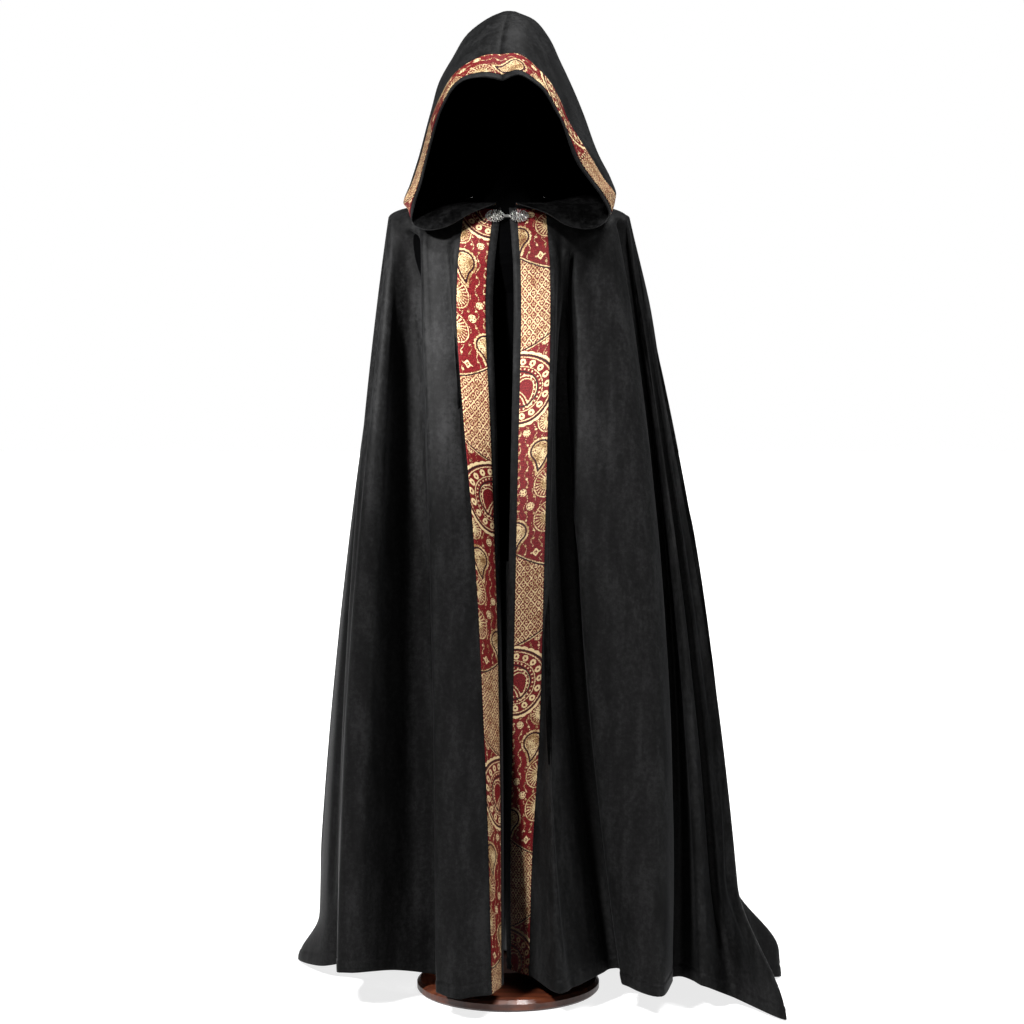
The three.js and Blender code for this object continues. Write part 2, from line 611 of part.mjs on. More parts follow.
// Turned base with its collar in one piece
const baseProfile = [
  [0, 0],
  [BASE_RADIUS - BASE_ROUNDING, 0],
  [BASE_RADIUS, BASE_ROUNDING],
  [BASE_RADIUS, BASE_EDGE],
  [BASE_RADIUS - 6, BASE_EDGE + 6],
  [BASE_RADIUS - 14, BASE_EDGE + 8],
  [60, BASE_HEIGHT],
  [32, 34],
  [26, COLLAR_TOP - 6],
  [24, COLLAR_TOP],
  [0, COLLAR_TOP],
].map(([radius, height]) => new THREE.Vector2(radius, height));
const base = addPart("form_base", new THREE.LatheGeometry(baseProfile, 64), wood);
base.rotation.x = Math.PI / 2;

// Clasp: two scalloped plates and the hook between them
function plateShape() {
  const shape = new THREE.Shape();
  const steps = 48;
  for (let i = 0; i < steps; i += 1) {
    const angle = 2 * Math.PI * i / steps;
    const scallop = 1 - PLATE.scallop * Math.abs(Math.sin(PLATE.lobes * angle / 2));
    const x = PLATE.width / 2 * scallop * Math.cos(angle);
    const y = PLATE.height / 2 * scallop * Math.sin(angle);
    if (i === 0) {
      shape.moveTo(x, y);
    } else {
      shape.lineTo(x, y);
    }
  }
  shape.closePath();
  return shape;
}

// The plates lie on the strips, leaning back with the cloth under them
const CLASP_LEVEL = (NECK.zFront - CLASP_Z) / (NECK.zFront - SHOULDER.zFront) - 1;
const besideEdge = bandPoint(-1, CLASP_LEVEL, 0);
const clothSlope = bandPoint(-1, CLASP_LEVEL + 0.05, 0).sub(bandPoint(-1, CLASP_LEVEL - 0.05, 0));
const clothLean = Math.atan2(-clothSlope.y, -clothSlope.z);
const plateLift = 2 * SEAM_GAP + TRIM_WALL;
const plateY = besideEdge.y - plateLift * Math.cos(clothLean);
const plateZ = besideEdge.z + plateLift * Math.sin(clothLean);

function addPlate(name, x) {
  const geometry = new THREE.ExtrudeGeometry(plateShape(), { depth: PLATE.thickness, bevelEnabled: false });
  const plate = addPart(name, geometry, silver);
  plate.rotation.x = Math.PI / 2 - clothLean;
  plate.position.set(x, plateY, plateZ);
}
addPlate("clasp_left", LEFT_PLATE_X);
addPlate("clasp_right", RIGHT_PLATE_X);

const hookFrom = LEFT_PLATE_X + PLATE.width / 2 + SEAM_GAP;
const hookTo = RIGHT_PLATE_X - PLATE.width / 2 - SEAM_GAP;
const hookGeometry = new THREE.BoxGeometry(hookTo - hookFrom, HOOK_HEIGHT, PLATE.thickness);
hookGeometry.translate(0, 0, PLATE.thickness / 2);
const hook = addPart("clasp_hook", hookGeometry, silver);
hook.rotation.x = Math.PI / 2 - clothLean;
hook.position.set((hookFrom + hookTo) / 2, plateY, plateZ);

export default object;
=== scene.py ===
"""Hooded wool cloak with brocade strips and a silver clasp, hung on a limbless dress form."""
import math

import bpy
import numpy as np
from mathutils import Matrix, Vector


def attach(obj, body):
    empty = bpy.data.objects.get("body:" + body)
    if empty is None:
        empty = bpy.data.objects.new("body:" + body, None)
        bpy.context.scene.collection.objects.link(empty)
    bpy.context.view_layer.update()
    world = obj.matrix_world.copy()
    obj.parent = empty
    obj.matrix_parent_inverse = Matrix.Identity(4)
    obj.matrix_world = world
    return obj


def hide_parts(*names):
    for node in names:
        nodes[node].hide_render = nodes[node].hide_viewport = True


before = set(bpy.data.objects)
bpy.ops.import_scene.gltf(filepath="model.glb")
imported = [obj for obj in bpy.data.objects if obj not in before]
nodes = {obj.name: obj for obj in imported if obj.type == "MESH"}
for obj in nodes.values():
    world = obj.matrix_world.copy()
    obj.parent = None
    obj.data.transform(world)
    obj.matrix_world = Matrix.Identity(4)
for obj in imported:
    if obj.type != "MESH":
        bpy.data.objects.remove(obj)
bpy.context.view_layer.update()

MM = 0.001

# Cloth sizes, in millimetres like every size up to the meshes
WOOL_WALL = 2.2
TRIM_WALL = 1.0
TRIM_GAP = 0.15
TRIM_INSET = 13.0
TRIM_WIDTH = 50.0
FRONT_BAND = 69.0
FLOOR_CLEARANCE = 0.4
HEM_DEPTH = 22.0
SEAM_GAP = 0.3
RIM_BULGE = 0.3

NECK = dict(half_width=105, front=101, back=78, z_front=1398, z_side=1412, z_back=1436, roundness=0.83)
SHOULDER = dict(half_width=213, front=138, back=135, z_front=1300, z_side=1386, z_back=1352, roundness=1)
BAND_END_TURN = 60
NECK_EDGE_X = {-1: -12, 1: 2}

# Front edges by height: x and y of the edge, and yaw, how far the edge band turns in
LEFT_EDGE = np.array([
    (1300, -23, -138, 4),
    (1226, -26, -132, 8),
    (1018, -19, -128, 27),
    (880, -16, -124, 42),
    (706, -12, -130, 52),
    (358, -8, -143, 64),
    (45, -8, -147, 72),
], float)
RIGHT_EDGE = np.array([
    (1300, 9, -138, 4),
    (1226, 10, -151, 5),
    (966, 5, -158, 11),
    (706, 0, -142, 16),
    (532, -3, -122, 20),
    (270, -5, -88, 41),
    (50, -2, -58, 52),
], float)

# Hanging folds from the left front round the back to the right front
FOLD_COLUMNS = ("turn", "x", "y", "z", "bulge", "sway", "kick", "start", "end", "tuck")
FOLDS = [dict(zip(FOLD_COLUMNS, row)) for row in [
    (29, -50, -222, 45, 0.9, 0, 0, 0.8, 1, 0),
    (36, -85, -230, 42, 0.8, 0, 0, 0.8, 1, -4),
    (46, -119, -198, 45, 0.95, 0, 0, 0.8, 1, 0),
    (55, -132, -85, 45, 0.8, 0, 0, 0.8, 1, 30),
    (66, -195, -100, 58, 0.1, 0, 0, 0.8, 1, 0),
    (75, -254, -150, 68, 0.5, 0, 0, 0.8, 1, -14),
    (82, -293, -140, 65, 0.8, 0, 0, 0.8, 1, -18),
    (90, -303, -70, 56, 0.95, 0, 0, 0.8, 1, 0),
    (97, -292, 22, 40, 0.95, 0, 0, 0.8, 1, 0),
    (105, -345, 72, 20, 0.7, 0, 0.06, 0.9, 1, 0),
    (112, -397, 200, 0, 0.6, 0, 0.2, 0.93, 1, 0),
    (119, -330, 232, 6, 0.4, 0, 0.12, 0.9, 1, 0),
    (126, -370, 330, 0, 0.4, 0, 0.15, 0.88, 1, 0),
    (134, -270, 330, 8, 0.1, 0, 0.1, 0.88, 1, 0),
    (142, -230, 440, 0, 0.3, 0, 0.15, 0.88, 1, 0),
    (152, -140, 370, 8, 0.1, 0, 0.1, 0.88, 1, 0),
    (162, -80, 470, 0, 0.3, 0, 0.15, 0.88, 1, 0),
    (174, 0, 390, 8, 0.1, 0, 0.1, 0.88, 1, 0),
    (186, 90, 476, 0, 0.3, 0, 0.15, 0.88, 1, 0),
    (198, 160, 385, 8, 0.1, 0, 0.1, 0.88, 1, 0),
    (209, 260, 450, 0, 0.3, 0, 0.15, 0.88, 1, 0),
    (220, 290, 345, 8, 0.1, 0, 0.1, 0.88, 1, 0),
    (230, 400, 350, 0, 0.4, 0, 0.15, 0.88, 1, 0),
    (239, 372, 240, 8, 0.3, 0, 0.1, 0.88, 1, 0),
    (248, 480, 190, 0, 0.5, 0, 0.16, 0.88, 1, 0),
    (256, 430, 112, 6, 0.5, 0, 0.1, 0.88, 1, 0),
    (262, 503, 66, 0, 0.5, 0, 0.26, 0.87, 0.965, 0),
    (268, 436, 8, 12, 0.5, 0, 0.12, 0.86, 1, 0),
    (273, 477, -217, 0, 0.61, 0, 0.24, 0.84, 1, 0),
    (278, 395, -122, 16, 0.5, 8, 0.1, 0.84, 1, 0),
    (283, 345, -156, 44, 0.3, 16, 0, 0.8, 1, 0),
    (288, 302, -112, 50, 0.3, 26, 0, 0.8, 1, 22),
    (297, 264, -212, 42, 0.3, 24, 0, 0.8, 1, 0),
    (312, 242, -206, 43, 0.2, 0, 0, 0.8, 1, -8),
    (327, 207, -162, 48, 0, -24, 0, 0.8, 1, 6),
    (330, 190, -88, 56, -0.3, -18, 0, 0.8, 1, 38),
    (332.5, 121, -166, 48, -0.2, -40, 0, 0.8, 1, -4),
    (335, 90, -200, 44, 0, -18, 0, 0.8, 1, 0),
]]
LEFT_SEAM_FOLD = 7
BACK_SEAM_FOLD = 17
RIGHT_SEAM_FOLD = 27

# Hood sections from the centre seam down to the clasp: face edge, far edge of the brocade,
# widest point, point behind it, and the turn at which the section meets the neck seam
HOOD_LEFT = np.array([
    (-9, -185, 1606, -12, -138, 1661, 5, 2, 1751, 4, 150, 1590, 180),
    (-40, -190, 1611, -38, -140, 1656, -28, 0, 1741, -46, 142, 1580, 162),
    (-75, -188, 1606, -75, -135, 1636, -70, 0, 1709, -82, 122, 1560, 145),
    (-94, -187, 1591, -96, -133, 1617, -97, 2, 1664, -104, 105, 1535, 130),
    (-105, -186, 1573, -113, -130, 1588, -121, 0, 1619, -122, 88, 1510, 118),
    (-117, -183, 1548, -130, -123, 1552, -134, 0, 1565, -132, 72, 1488, 107),
    (-137, -172, 1480, -150, -112, 1483, -152, -10, 1494, -140, 50, 1458, 96),
    (-149, -155, 1436, -166, -96, 1439, -166, -14, 1452, -142, 28, 1440, 86),
    (-162, -134, 1398, -181, -78, 1407, -170, -20, 1429, -136, 6, 1431, 77),
    (-166, -128, 1370, -166, -84, 1404, -150, -34, 1424, -120, -20, 1424, 67),
    (-140, -142, 1356, -136, -100, 1392, -122, -60, 1412, -98, -48, 1414, 55),
    (-104, -145, 1362, -100, -112, 1396, -90, -82, 1406, -72, -78, 1408, 41),
    (-62, -134, 1386, -61, -118, 1399, -58, -106, 1404, -55, -98, 1404, 27),
    (-22, -122, 1402, -21, -116, 1404, -20.5, -111, 1404, -20, -105, 1402, 8),
], float)
HOOD_RIGHT = np.array([
    (-9, -185, 1606, -12, -138, 1661, 5, 2, 1751, 4, 150, 1590, 180),
    (18, -190, 1615, 20, -140, 1656, 48, 0, 1734, 58, 142, 1580, 198),
    (53, -187, 1596, 56, -135, 1626, 72, 2, 1702, 94, 122, 1560, 215),
    (66, -186, 1582, 73, -133, 1606, 90, 4, 1664, 118, 105, 1535, 230),
    (81, -184, 1556, 91, -129, 1573, 116, 5, 1610, 136, 88, 1510, 242),
    (92, -180, 1538, 103, -120, 1546, 137, 8, 1563, 148, 72, 1488, 253),
    (116, -168, 1474, 145, -114, 1479, 163, -4, 1494, 154, 50, 1458, 264),
    (138, -154, 1444, 165, -98, 1449, 182, -12, 1456, 156, 28, 1442, 274),
    (161, -134, 1415, 186, -82, 1421, 186, -18, 1433, 150, 6, 1433, 283),
    (176, -122, 1383, 184, -76, 1410, 168, -34, 1426, 132, -20, 1426, 293),
    (150, -138, 1360, 148, -98, 1394, 130, -58, 1413, 104, -48, 1415, 305),
    (106, -144, 1362, 102, -112, 1396, 92, -82, 1406, 74, -78, 1408, 319),
    (64, -134, 1386, 63, -118, 1399, 60, -106, 1404, 57, -98, 1404, 332),
    (16, -122, 1402, 15, -116, 1404, 14, -111, 1404, 13, -105, 1402, 354.5),
], float)
HOOD_LIFT = 1.1

FINE = 1.0
CLOTH_STEP = 8.0 * FINE
BROCADE_STEP = 1.28 * FINE


def lerp(a, b, share):
    return a + (b - a) * share


def smoothstep(x, low, high):
    t = np.clip((x - low) / (high - low), 0, 1)
    return t * t * (3 - 2 * t)


def spline(p0, p1, p2, p3, share):
    """Smooth curve from p1 to p2, with knots spaced by the square root of each chord."""
    def knot(a, b):
        return np.maximum(np.sqrt(np.linalg.norm(b - a, axis=-1, keepdims=True)), 0.01)

    t1 = knot(p0, p1)
    t2 = t1 + knot(p1, p2)
    t3 = t2 + knot(p2, p3)
    t = lerp(t1, t2, share)

    def mix(a, b, ta, tb):
        return a + (b - a) * ((t - ta) / (tb - ta))

    a1, a2, a3 = mix(p0, p1, 0, t1), mix(p1, p2, t1, t2), mix(p2, p3, t2, t3)
    return mix(mix(a1, a2, 0, t2), mix(a2, a3, t1, t3), t1, t2)


def spline_through(points, segment, share):
    """Point of the curve through points[0], points[1]... each of which may be an array of points."""
    p1, p2 = points[segment], points[segment + 1]
    p0 = points[segment - 1] if segment > 0 else 2 * p1 - p2
    p3 = points[segment + 2] if segment + 2 < len(points) else 2 * p2 - p1
    return spline(p0, p1, p2, p3, share)


def edge_at(edge, z):
    """x, y and yaw of a front edge at a height."""
    i = 0
    while i < len(edge) - 2 and z < edge[i + 1][0]:
        i += 1
    share = min(max((edge[i][0] - z) / (edge[i][0] - edge[i + 1][0]), 0), 1)
    places = edge[:, [1, 2, 0]]
    yaws = np.column_stack([edge[:, 3], np.zeros(len(edge)), edge[:, 0]])
    x, y, _ = spline_through(places, i, share)
    return x, y, math.radians(spline_through(yaws, i, share)[0])


def oval_point(oval, turn):
    """Point of an oval round the form, turn in degrees from the centre front over the left shoulder."""
    to_side, to_front = math.sin(math.radians(turn)), math.cos(math.radians(turn))
    depth = oval["front"] if to_front > 0 else oval["back"]
    z_centre = oval["z_front"] if to_front > 0 else oval["z_back"]

    def squared(value):
        return math.copysign(abs(value) ** oval["roundness"], value)

    return np.array([-oval["half_width"] * squared(to_side), -depth * squared(to_front),
                     lerp(oval["z_side"], z_centre, to_front ** 2)])


def neck_turn(turn):
    """Folds crowd together round the neck seam, clear of the bands in front."""
    left = turn < 180
    end = FOLDS[0]["turn"] if left else FOLDS[-1]["turn"]
    band_end = BAND_END_TURN if left else 360 - BAND_END_TURN
    return 180 + (turn - 180) * (band_end - 180) / (end - 180)


def yoke_point(turn, share):
    neck, shoulder = oval_point(NECK, neck_turn(turn)), oval_point(SHOULDER, turn)
    to_front = max(0, math.cos(math.radians(turn)))
    out = math.sin(share * math.pi / 2)
    drop = lerp(1 - math.cos(share * math.pi / 2), share, to_front ** 2)
    return np.array([*lerp(neck[:2], shoulder[:2], out), lerp(neck[2], shoulder[2], drop)])


def fall_point(fold, share):
    top = oval_point(SHOULDER, fold["turn"])
    across = share * (1 + fold["bulge"] * (1 - share)) * (1 - fold["kick"])
    across += fold["kick"] * smoothstep(share, fold["start"], fold["end"])
    drift = 4 * fold["sway"] * share * (1 - share)
    tuck = fold["tuck"] * math.sin(math.pi * math.sqrt(share))
    hem_z = max(fold["z"], WOOL_WALL + FLOOR_CLEARANCE)
    return np.array([lerp(top[0], fold["x"], across) + drift, lerp(top[1], fold["y"], across) + tuck,
                     lerp(top[2], hem_z, share)])


def band_points(side, level, insets):
    """Points of a front band at insets from its edge; side is -1 on the left, 1 on the right."""
    edge = LEFT_EDGE if side < 0 else RIGHT_EDGE
    z = lerp(SHOULDER["z_front"], edge[-1][0], max(level, 0))
    x, y, yaw = edge_at(edge, z)
    insets = np.asarray(insets, float)
    hanging = np.column_stack([x + side * insets * math.cos(yaw), y - insets * math.sin(yaw),
                               np.full(len(insets), z)])
    if level >= 0:
        return hanging
    neck_x = NECK_EDGE_X[side] + side * insets
    turns = np.degrees(np.arcsin((np.abs(neck_x) / NECK["half_width"]) ** (1 / NECK["roundness"])))
    neck = np.array([oval_point(NECK, turn) for turn in turns])
    share = 1 + level
    return np.column_stack([lerp(neck_x, hanging[:, 0], share),
                            lerp(neck[:, 1], hanging[:, 1], math.sin(share * math.pi / 2)),
                            lerp(neck[:, 2], z, share)])


def ring_controls(level):
    folds = [yoke_point(f["turn"], 1 + level) if level < 0 else fall_point(f, level) for f in FOLDS]
    left = band_points(-1, level, [FRONT_BAND / 2, FRONT_BAND])
    right = band_points(1, level, [FRONT_BAND, FRONT_BAND / 2])
    return np.array([*left, *folds, *right])


def grid_normals(grid):
    along = np.gradient(grid, axis=1)
    down = np.gradient(grid, axis=0)
    normal = np.cross(along, down)
    return normal / np.maximum(np.linalg.norm(normal, axis=2, keepdims=True), 1e-9)


def lengths_along(grid, axis):
    steps = np.linalg.norm(np.diff(grid, axis=axis), axis=2)
    total = np.cumsum(steps, axis=axis)
    return np.insert(total, 0, 0, axis=axis)


def add_mesh(name, points, quads, material, uv=None, colours=None):
    """New piece from points in millimetres; uv in metres and colours are one row per point."""
    mesh = bpy.data.meshes.new(name)
    mesh.vertices.add(len(points))
    mesh.vertices.foreach_set("co", (np.asarray(points) * MM).ravel())
    quads = np.asarray(quads, np.int32)
    mesh.loops.add(quads.size)
    mesh.loops.foreach_set("vertex_index", quads.ravel())
    mesh.polygons.add(len(quads))
    mesh.polygons.foreach_set("loop_start", np.arange(0, quads.size, 4, dtype=np.int32))
    mesh.update(calc_edges=True)
    if uv is not None:
        layer = mesh.uv_layers.new(name="cloth")
        layer.data.foreach_set("uv", np.asarray(uv)[quads.ravel()].ravel())
    if colours is not None:
        attribute = mesh.color_attributes.new(name="weave_map", type="FLOAT_COLOR", domain="POINT")
        attribute.data.foreach_set("color", np.asarray(colours, np.float32).ravel())
    mesh.validate()
    mesh.shade_smooth()
    mesh.materials.append(material)
    piece = bpy.data.objects.new(name, mesh)
    bpy.context.scene.collection.objects.link(piece)
    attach(piece, "root")
    return piece


def add_wall(name, outer, inner, material, uv=None, colours=None, back=None):
    """Closed wall between an outer and an inner grid of points, with a rounded rim all round."""
    rows, columns = outer.shape[:2]
    count = rows * columns
    index = np.arange(count).reshape(rows, columns)
    rim = np.concatenate([index[0, :], index[1:, -1], index[-1, -2::-1], index[-2:0:-1, 0]])
    rim_next = np.roll(rim, -1)
    out_flat, in_flat = outer.reshape(-1, 3), inner.reshape(-1, 3)
    middle = (out_flat + in_flat) / 2
    row, column = np.unravel_index(rim, (rows, columns))
    neighbour = index[np.clip(row, 1, rows - 2), np.clip(column, 1, columns - 2)]
    away = middle[rim] - middle[neighbour]
    away /= np.maximum(np.linalg.norm(away, axis=1, keepdims=True), 1e-9)
    half = np.linalg.norm(out_flat[rim] - in_flat[rim], axis=1, keepdims=True) / 2
    rim_points = middle[rim] + away * half * RIM_BULGE
    rim_points[:, 2] = np.maximum(rim_points[:, 2], FLOOR_CLEARANCE)

    corners = index[:-1, :-1], index[:-1, 1:], index[1:, 1:], index[1:, :-1]
    out_quads = np.stack(corners, axis=-1).reshape(-1, 4)
    in_quads = np.stack(corners[:1] + corners[:0:-1], axis=-1).reshape(-1, 4) + count
    edge = 2 * count + np.arange(len(rim))
    edge_next = np.roll(edge, -1)
    upper = np.stack([rim, edge, edge_next, rim_next], axis=-1)
    lower = np.stack([edge, rim + count, rim_next + count, edge_next], axis=-1)
    points = np.concatenate([out_flat, in_flat, rim_points])
    quads = np.concatenate([out_quads, in_quads, upper, lower])
    if uv is not None:
        flat = uv.reshape(-1, 2)
        uv = np.concatenate([flat, flat, flat[rim]])
    if colours is not None:
        flat = colours.reshape(-1, colours.shape[-1])
        colours = np.concatenate([flat, flat, flat[rim]])
    piece = add_mesh(name, points, quads, material, uv, colours)
    # the inner faces take the back material, which carries painted shade
    if back:
        piece.data.materials.append(back)
        on_back = np.zeros(len(quads), np.int32)
        on_back[len(out_quads):2 * len(out_quads)] = 1
        piece.data.polygons.foreach_set("material_index", on_back)
    return piece


# Materials
def new_material(name):
    material = bpy.data.materials.new(name)
    material.use_nodes = True
    tree = material.node_tree
    shader = tree.nodes["Principled BSDF"]
    return material, tree, shader


def node(tree, kind, inputs=None, **settings):
    made = tree.nodes.new(kind)
    for key, value in settings.items():
        setattr(made, key, value)
    for key, value in (inputs or {}).items():
        if isinstance(value, bpy.types.NodeSocket):
            tree.links.new(value, made.inputs[key])
        else:
            made.inputs[key].default_value = value
    return made


def ramp(tree, value, stops):
    made = node(tree, "ShaderNodeValToRGB", {0: value})
    elements = made.color_ramp.elements
    while len(elements) < len(stops):
        elements.new(0.5)
    for element, (place, colour) in zip(elements, stops):
        element.position = place
        element.color = (*colour, 1)
    return made.outputs[0]


def noise(tree, place, scale, detail, roughness=0.5):
    return node(tree, "ShaderNodeTexNoise", {"Vector": place, "Scale": scale, "Detail": detail,
                                             "Roughness": roughness}).outputs[0]


def maths(tree, operation, a, b):
    return node(tree, "ShaderNodeMath", {0: a, 1: b}, operation=operation).outputs[0]


# Brightness of the nap from its hollows to its tips, as places on a ramp and shares of the shade: random
# tone of the nap, with painted sheen on the tips and painted shade in the hollows
NAP_TONE_AND_SHEEN_LEVELS = ((0.0, 0.25), (0.5, 0.9), (1.0, 2.7))


def wool_material(name, shade, shine):
    """Wool with a brushed nap and painted sheen in its colour; the darker, dull copy for the back of the
    cloth is painted shade.
    """
    material, tree, shader = new_material(name)
    place = node(tree, "ShaderNodeTexCoord").outputs["Object"]
    stretched = node(tree, "ShaderNodeMapping", {"Vector": place, "Scale": (1, 1, 0.22)}).outputs[0]
    streaks = noise(tree, stretched, 38, 5, 0.62)
    mottle = noise(tree, place, 130, 5, 0.75)
    fibre = noise(tree, place, 1500, 3, 0.7)
    # base colour mottling: random nap tone with painted sheen and painted shade
    blend = maths(tree, "ADD", maths(tree, "ADD", streaks, mottle), fibre)
    value = node(tree, "ShaderNodeMapRange", {0: blend, 1: 1.28, 2: 1.72}).outputs[0]
    colour = ramp(tree, value, [(stop, (shade * level, shade * level, shade * level * 1.02))
                                for stop, level in NAP_TONE_AND_SHEEN_LEVELS])
    tree.links.new(colour, shader.inputs["Base Color"])
    height = maths(tree, "ADD", fibre, mottle)
    bump = node(tree, "ShaderNodeBump", {"Height": height, "Strength": 0.35, "Distance": 0.0006})
    tree.links.new(bump.outputs[0], shader.inputs["Normal"])
    shader.inputs["Roughness"].default_value = 0.58
    shader.inputs["Specular IOR Level"].default_value = shine
    shader.inputs["Sheen Weight"].default_value = 0.25 * shine
    shader.inputs["Sheen Roughness"].default_value = 0.45
    shader.inputs["Sheen Tint"].default_value = (0.75, 0.77, 0.8, 1)
    return material


def brocade_material():
    material, tree, shader = new_material("brocade")
    weave_map = node(tree, "ShaderNodeAttribute", attribute_name="weave_map").outputs["Color"]
    parts = node(tree, "ShaderNodeSeparateColor", {0: weave_map}).outputs
    uv = node(tree, "ShaderNodeUVMap", uv_map="cloth").outputs[0]
    threads = noise(tree, uv, 430, 3, 0.7)
    patches = noise(tree, uv, 55, 2)
    ragged = node(tree, "ShaderNodeMapRange", {0: threads, 1: 0.25, 2: 0.75, 3: -0.11, 4: 0.11}).outputs[0]
    gold_field = maths(tree, "ADD", parts[0], ragged)
    gold = node(tree, "ShaderNodeMapRange", {0: gold_field, 1: 0.475, 2: 0.525}).outputs[0]
    line = node(tree, "ShaderNodeMapRange", {0: parts[1], 1: 0.475, 2: 0.525}).outputs[0]
    ribs = node(tree, "ShaderNodeTexWave", {"Vector": uv, "Scale": 320, "Distortion": 0.4},
                bands_direction="Y").outputs[1]
    red = ramp(tree, threads, [(0.32, (0.03, 0.001, 0.002)), (0.5, (0.105, 0.004, 0.006)),
                               (0.68, (0.21, 0.018, 0.018))])
    shade = maths(tree, "ADD", maths(tree, "ADD", threads, patches), parts[2])
    shade = maths(tree, "MULTIPLY", shade, 0.4)
    thread_gold = ramp(tree, shade, [(0.46, (0.035, 0.014, 0.006)), (0.55, (0.22, 0.13, 0.045)),
                                     (0.66, (0.6, 0.47, 0.26))])
    mixed = node(tree, "ShaderNodeMix", {"Factor": gold, 6: red, 7: thread_gold},
                 data_type="RGBA").outputs[2]
    outlined = node(tree, "ShaderNodeMix", {"Factor": line, 6: mixed, 7: (0.006, 0.004, 0.004, 1)},
                    data_type="RGBA").outputs[2]
    tree.links.new(outlined, shader.inputs["Base Color"])
    height = maths(tree, "ADD", maths(tree, "ADD", gold, ribs), threads)
    bump = node(tree, "ShaderNodeBump", {"Height": height, "Strength": 0.5, "Distance": 0.0004})
    tree.links.new(bump.outputs[0], shader.inputs["Normal"])
    shader.inputs["Roughness"].default_value = 0.5
    shader.inputs["Specular IOR Level"].default_value = 0.12
    return material


def plain_finish(name, colour, roughness, metallic=0.0, grain=400, depth=0.0002, specular=0.5):
    material, tree, shader = new_material(name)
    place = node(tree, "ShaderNodeTexCoord").outputs["Object"]
    noise = node(tree, "ShaderNodeTexNoise", {"Vector": place, "Scale": grain, "Detail": 3})
    darker = tuple(0.75 * c for c in colour)
    tree.links.new(ramp(tree, noise.outputs[0], [(0.3, darker), (0.7, colour)]), shader.inputs["Base Color"])
    bump = node(tree, "ShaderNodeBump", {"Height": noise.outputs[0], "Strength": 0.3, "Distance": depth})
    tree.links.new(bump.outputs[0], shader.inputs["Normal"])
    shader.inputs["Roughness"].default_value = roughness
    shader.inputs["Metallic"].default_value = metallic
    shader.inputs["Specular IOR Level"].default_value = specular
    return material


def wood_material():
    material, tree, shader = new_material("varnished_wood")
    place = node(tree, "ShaderNodeTexCoord").outputs["Object"]
    grain_place = node(tree, "ShaderNodeMapping", {"Vector": place, "Scale": (2.5, 30, 30)}).outputs[0]
    grain = node(tree, "ShaderNodeTexNoise",
                 {"Vector": grain_place, "Scale": 3, "Detail": 6, "Distortion": 0.6})
    colour = ramp(tree, grain.outputs[0], [(0.3, (0.03, 0.006, 0.002)), (0.5, (0.075, 0.016, 0.005)),
                                           (0.7, (0.12, 0.03, 0.009))])
    tree.links.new(colour, shader.inputs["Base Color"])
    bump = node(tree, "ShaderNodeBump", {"Height": grain.outputs[0], "Strength": 0.1, "Distance": 0.0003})
    tree.links.new(bump.outputs[0], shader.inputs["Normal"])
    shader.inputs["Roughness"].default_value = 0.45
    shader.inputs["Coat Weight"].default_value = 0.15
    shader.inputs["Coat Roughness"].default_value = 0.12
    return material


black_wool = wool_material("black_wool", 0.0043, 0.07)
# darker, dull copy of the wool on the inner faces: painted shade for the inside of the hood and cloak
wool_back_painted_shade = wool_material("wool_back_painted_shade", 0.0022, 0.0)
brocade = brocade_material()
antique_silver = plain_finish("antique_silver", (0.3, 0.295, 0.285), 0.3, 1.0, 700, 0.0002)
# black jersey cover of the form, darkened to near pitch and without shine as painted shade inside the hood
# and between the fronts
black_jersey_painted_shade = plain_finish("black_jersey_painted_shade", (0.0012, 0.0012, 0.0013), 1.0, specular=0.0)
black_paint = plain_finish("black_paint", (0.02, 0.02, 0.02), 0.3)
varnished_wood = wood_material()


# Body of the cloak
HEM_ZONE = 0.035


def level_rows():
    """Even rows down the cloth, with close ones in the stitched hem."""
    yoke = np.linspace(-1, 0, round(150 / CLOTH_STEP), endpoint=False)
    fall = np.linspace(0, 1 - HEM_ZONE, round(1290 / CLOTH_STEP), endpoint=False)
    hem = np.linspace(1 - HEM_ZONE, 1, round(18 / FINE))
    return np.concatenate([yoke, fall, hem])


levels = level_rows()
controls = np.array([ring_controls(level) for level in levels])
by_control = controls.transpose(1, 0, 2)
band_insets = np.linspace(0, FRONT_BAND, round(FRONT_BAND / (CLOTH_STEP * 0.85)))
left_band = np.array([band_points(-1, level, band_insets) for level in levels])
right_band = np.array([band_points(1, level, band_insets[::-1]) for level in levels])

fold_columns = []
fold_places = []
for segment in range(1, len(by_control) - 2):
    chord = np.linalg.norm(by_control[segment][-1] - by_control[segment + 1][-1])
    steps = max(3, round(chord / CLOTH_STEP))
    for i in range(steps):
        fold_places.append(segment - 2 + i / steps)
        fold_columns.append(spline_through(by_control, segment, i / steps))
ring = np.concatenate([left_band[:, :-1], np.array(fold_columns).transpose(1, 0, 2), right_band], axis=1)
# Place round the ring: fold number, -1 on the left band and past the last fold on the right band
places = np.concatenate([np.linspace(-2, -1, len(band_insets))[:-1], fold_places,
                         np.linspace(len(FOLDS), len(FOLDS) + 1, len(band_insets))])
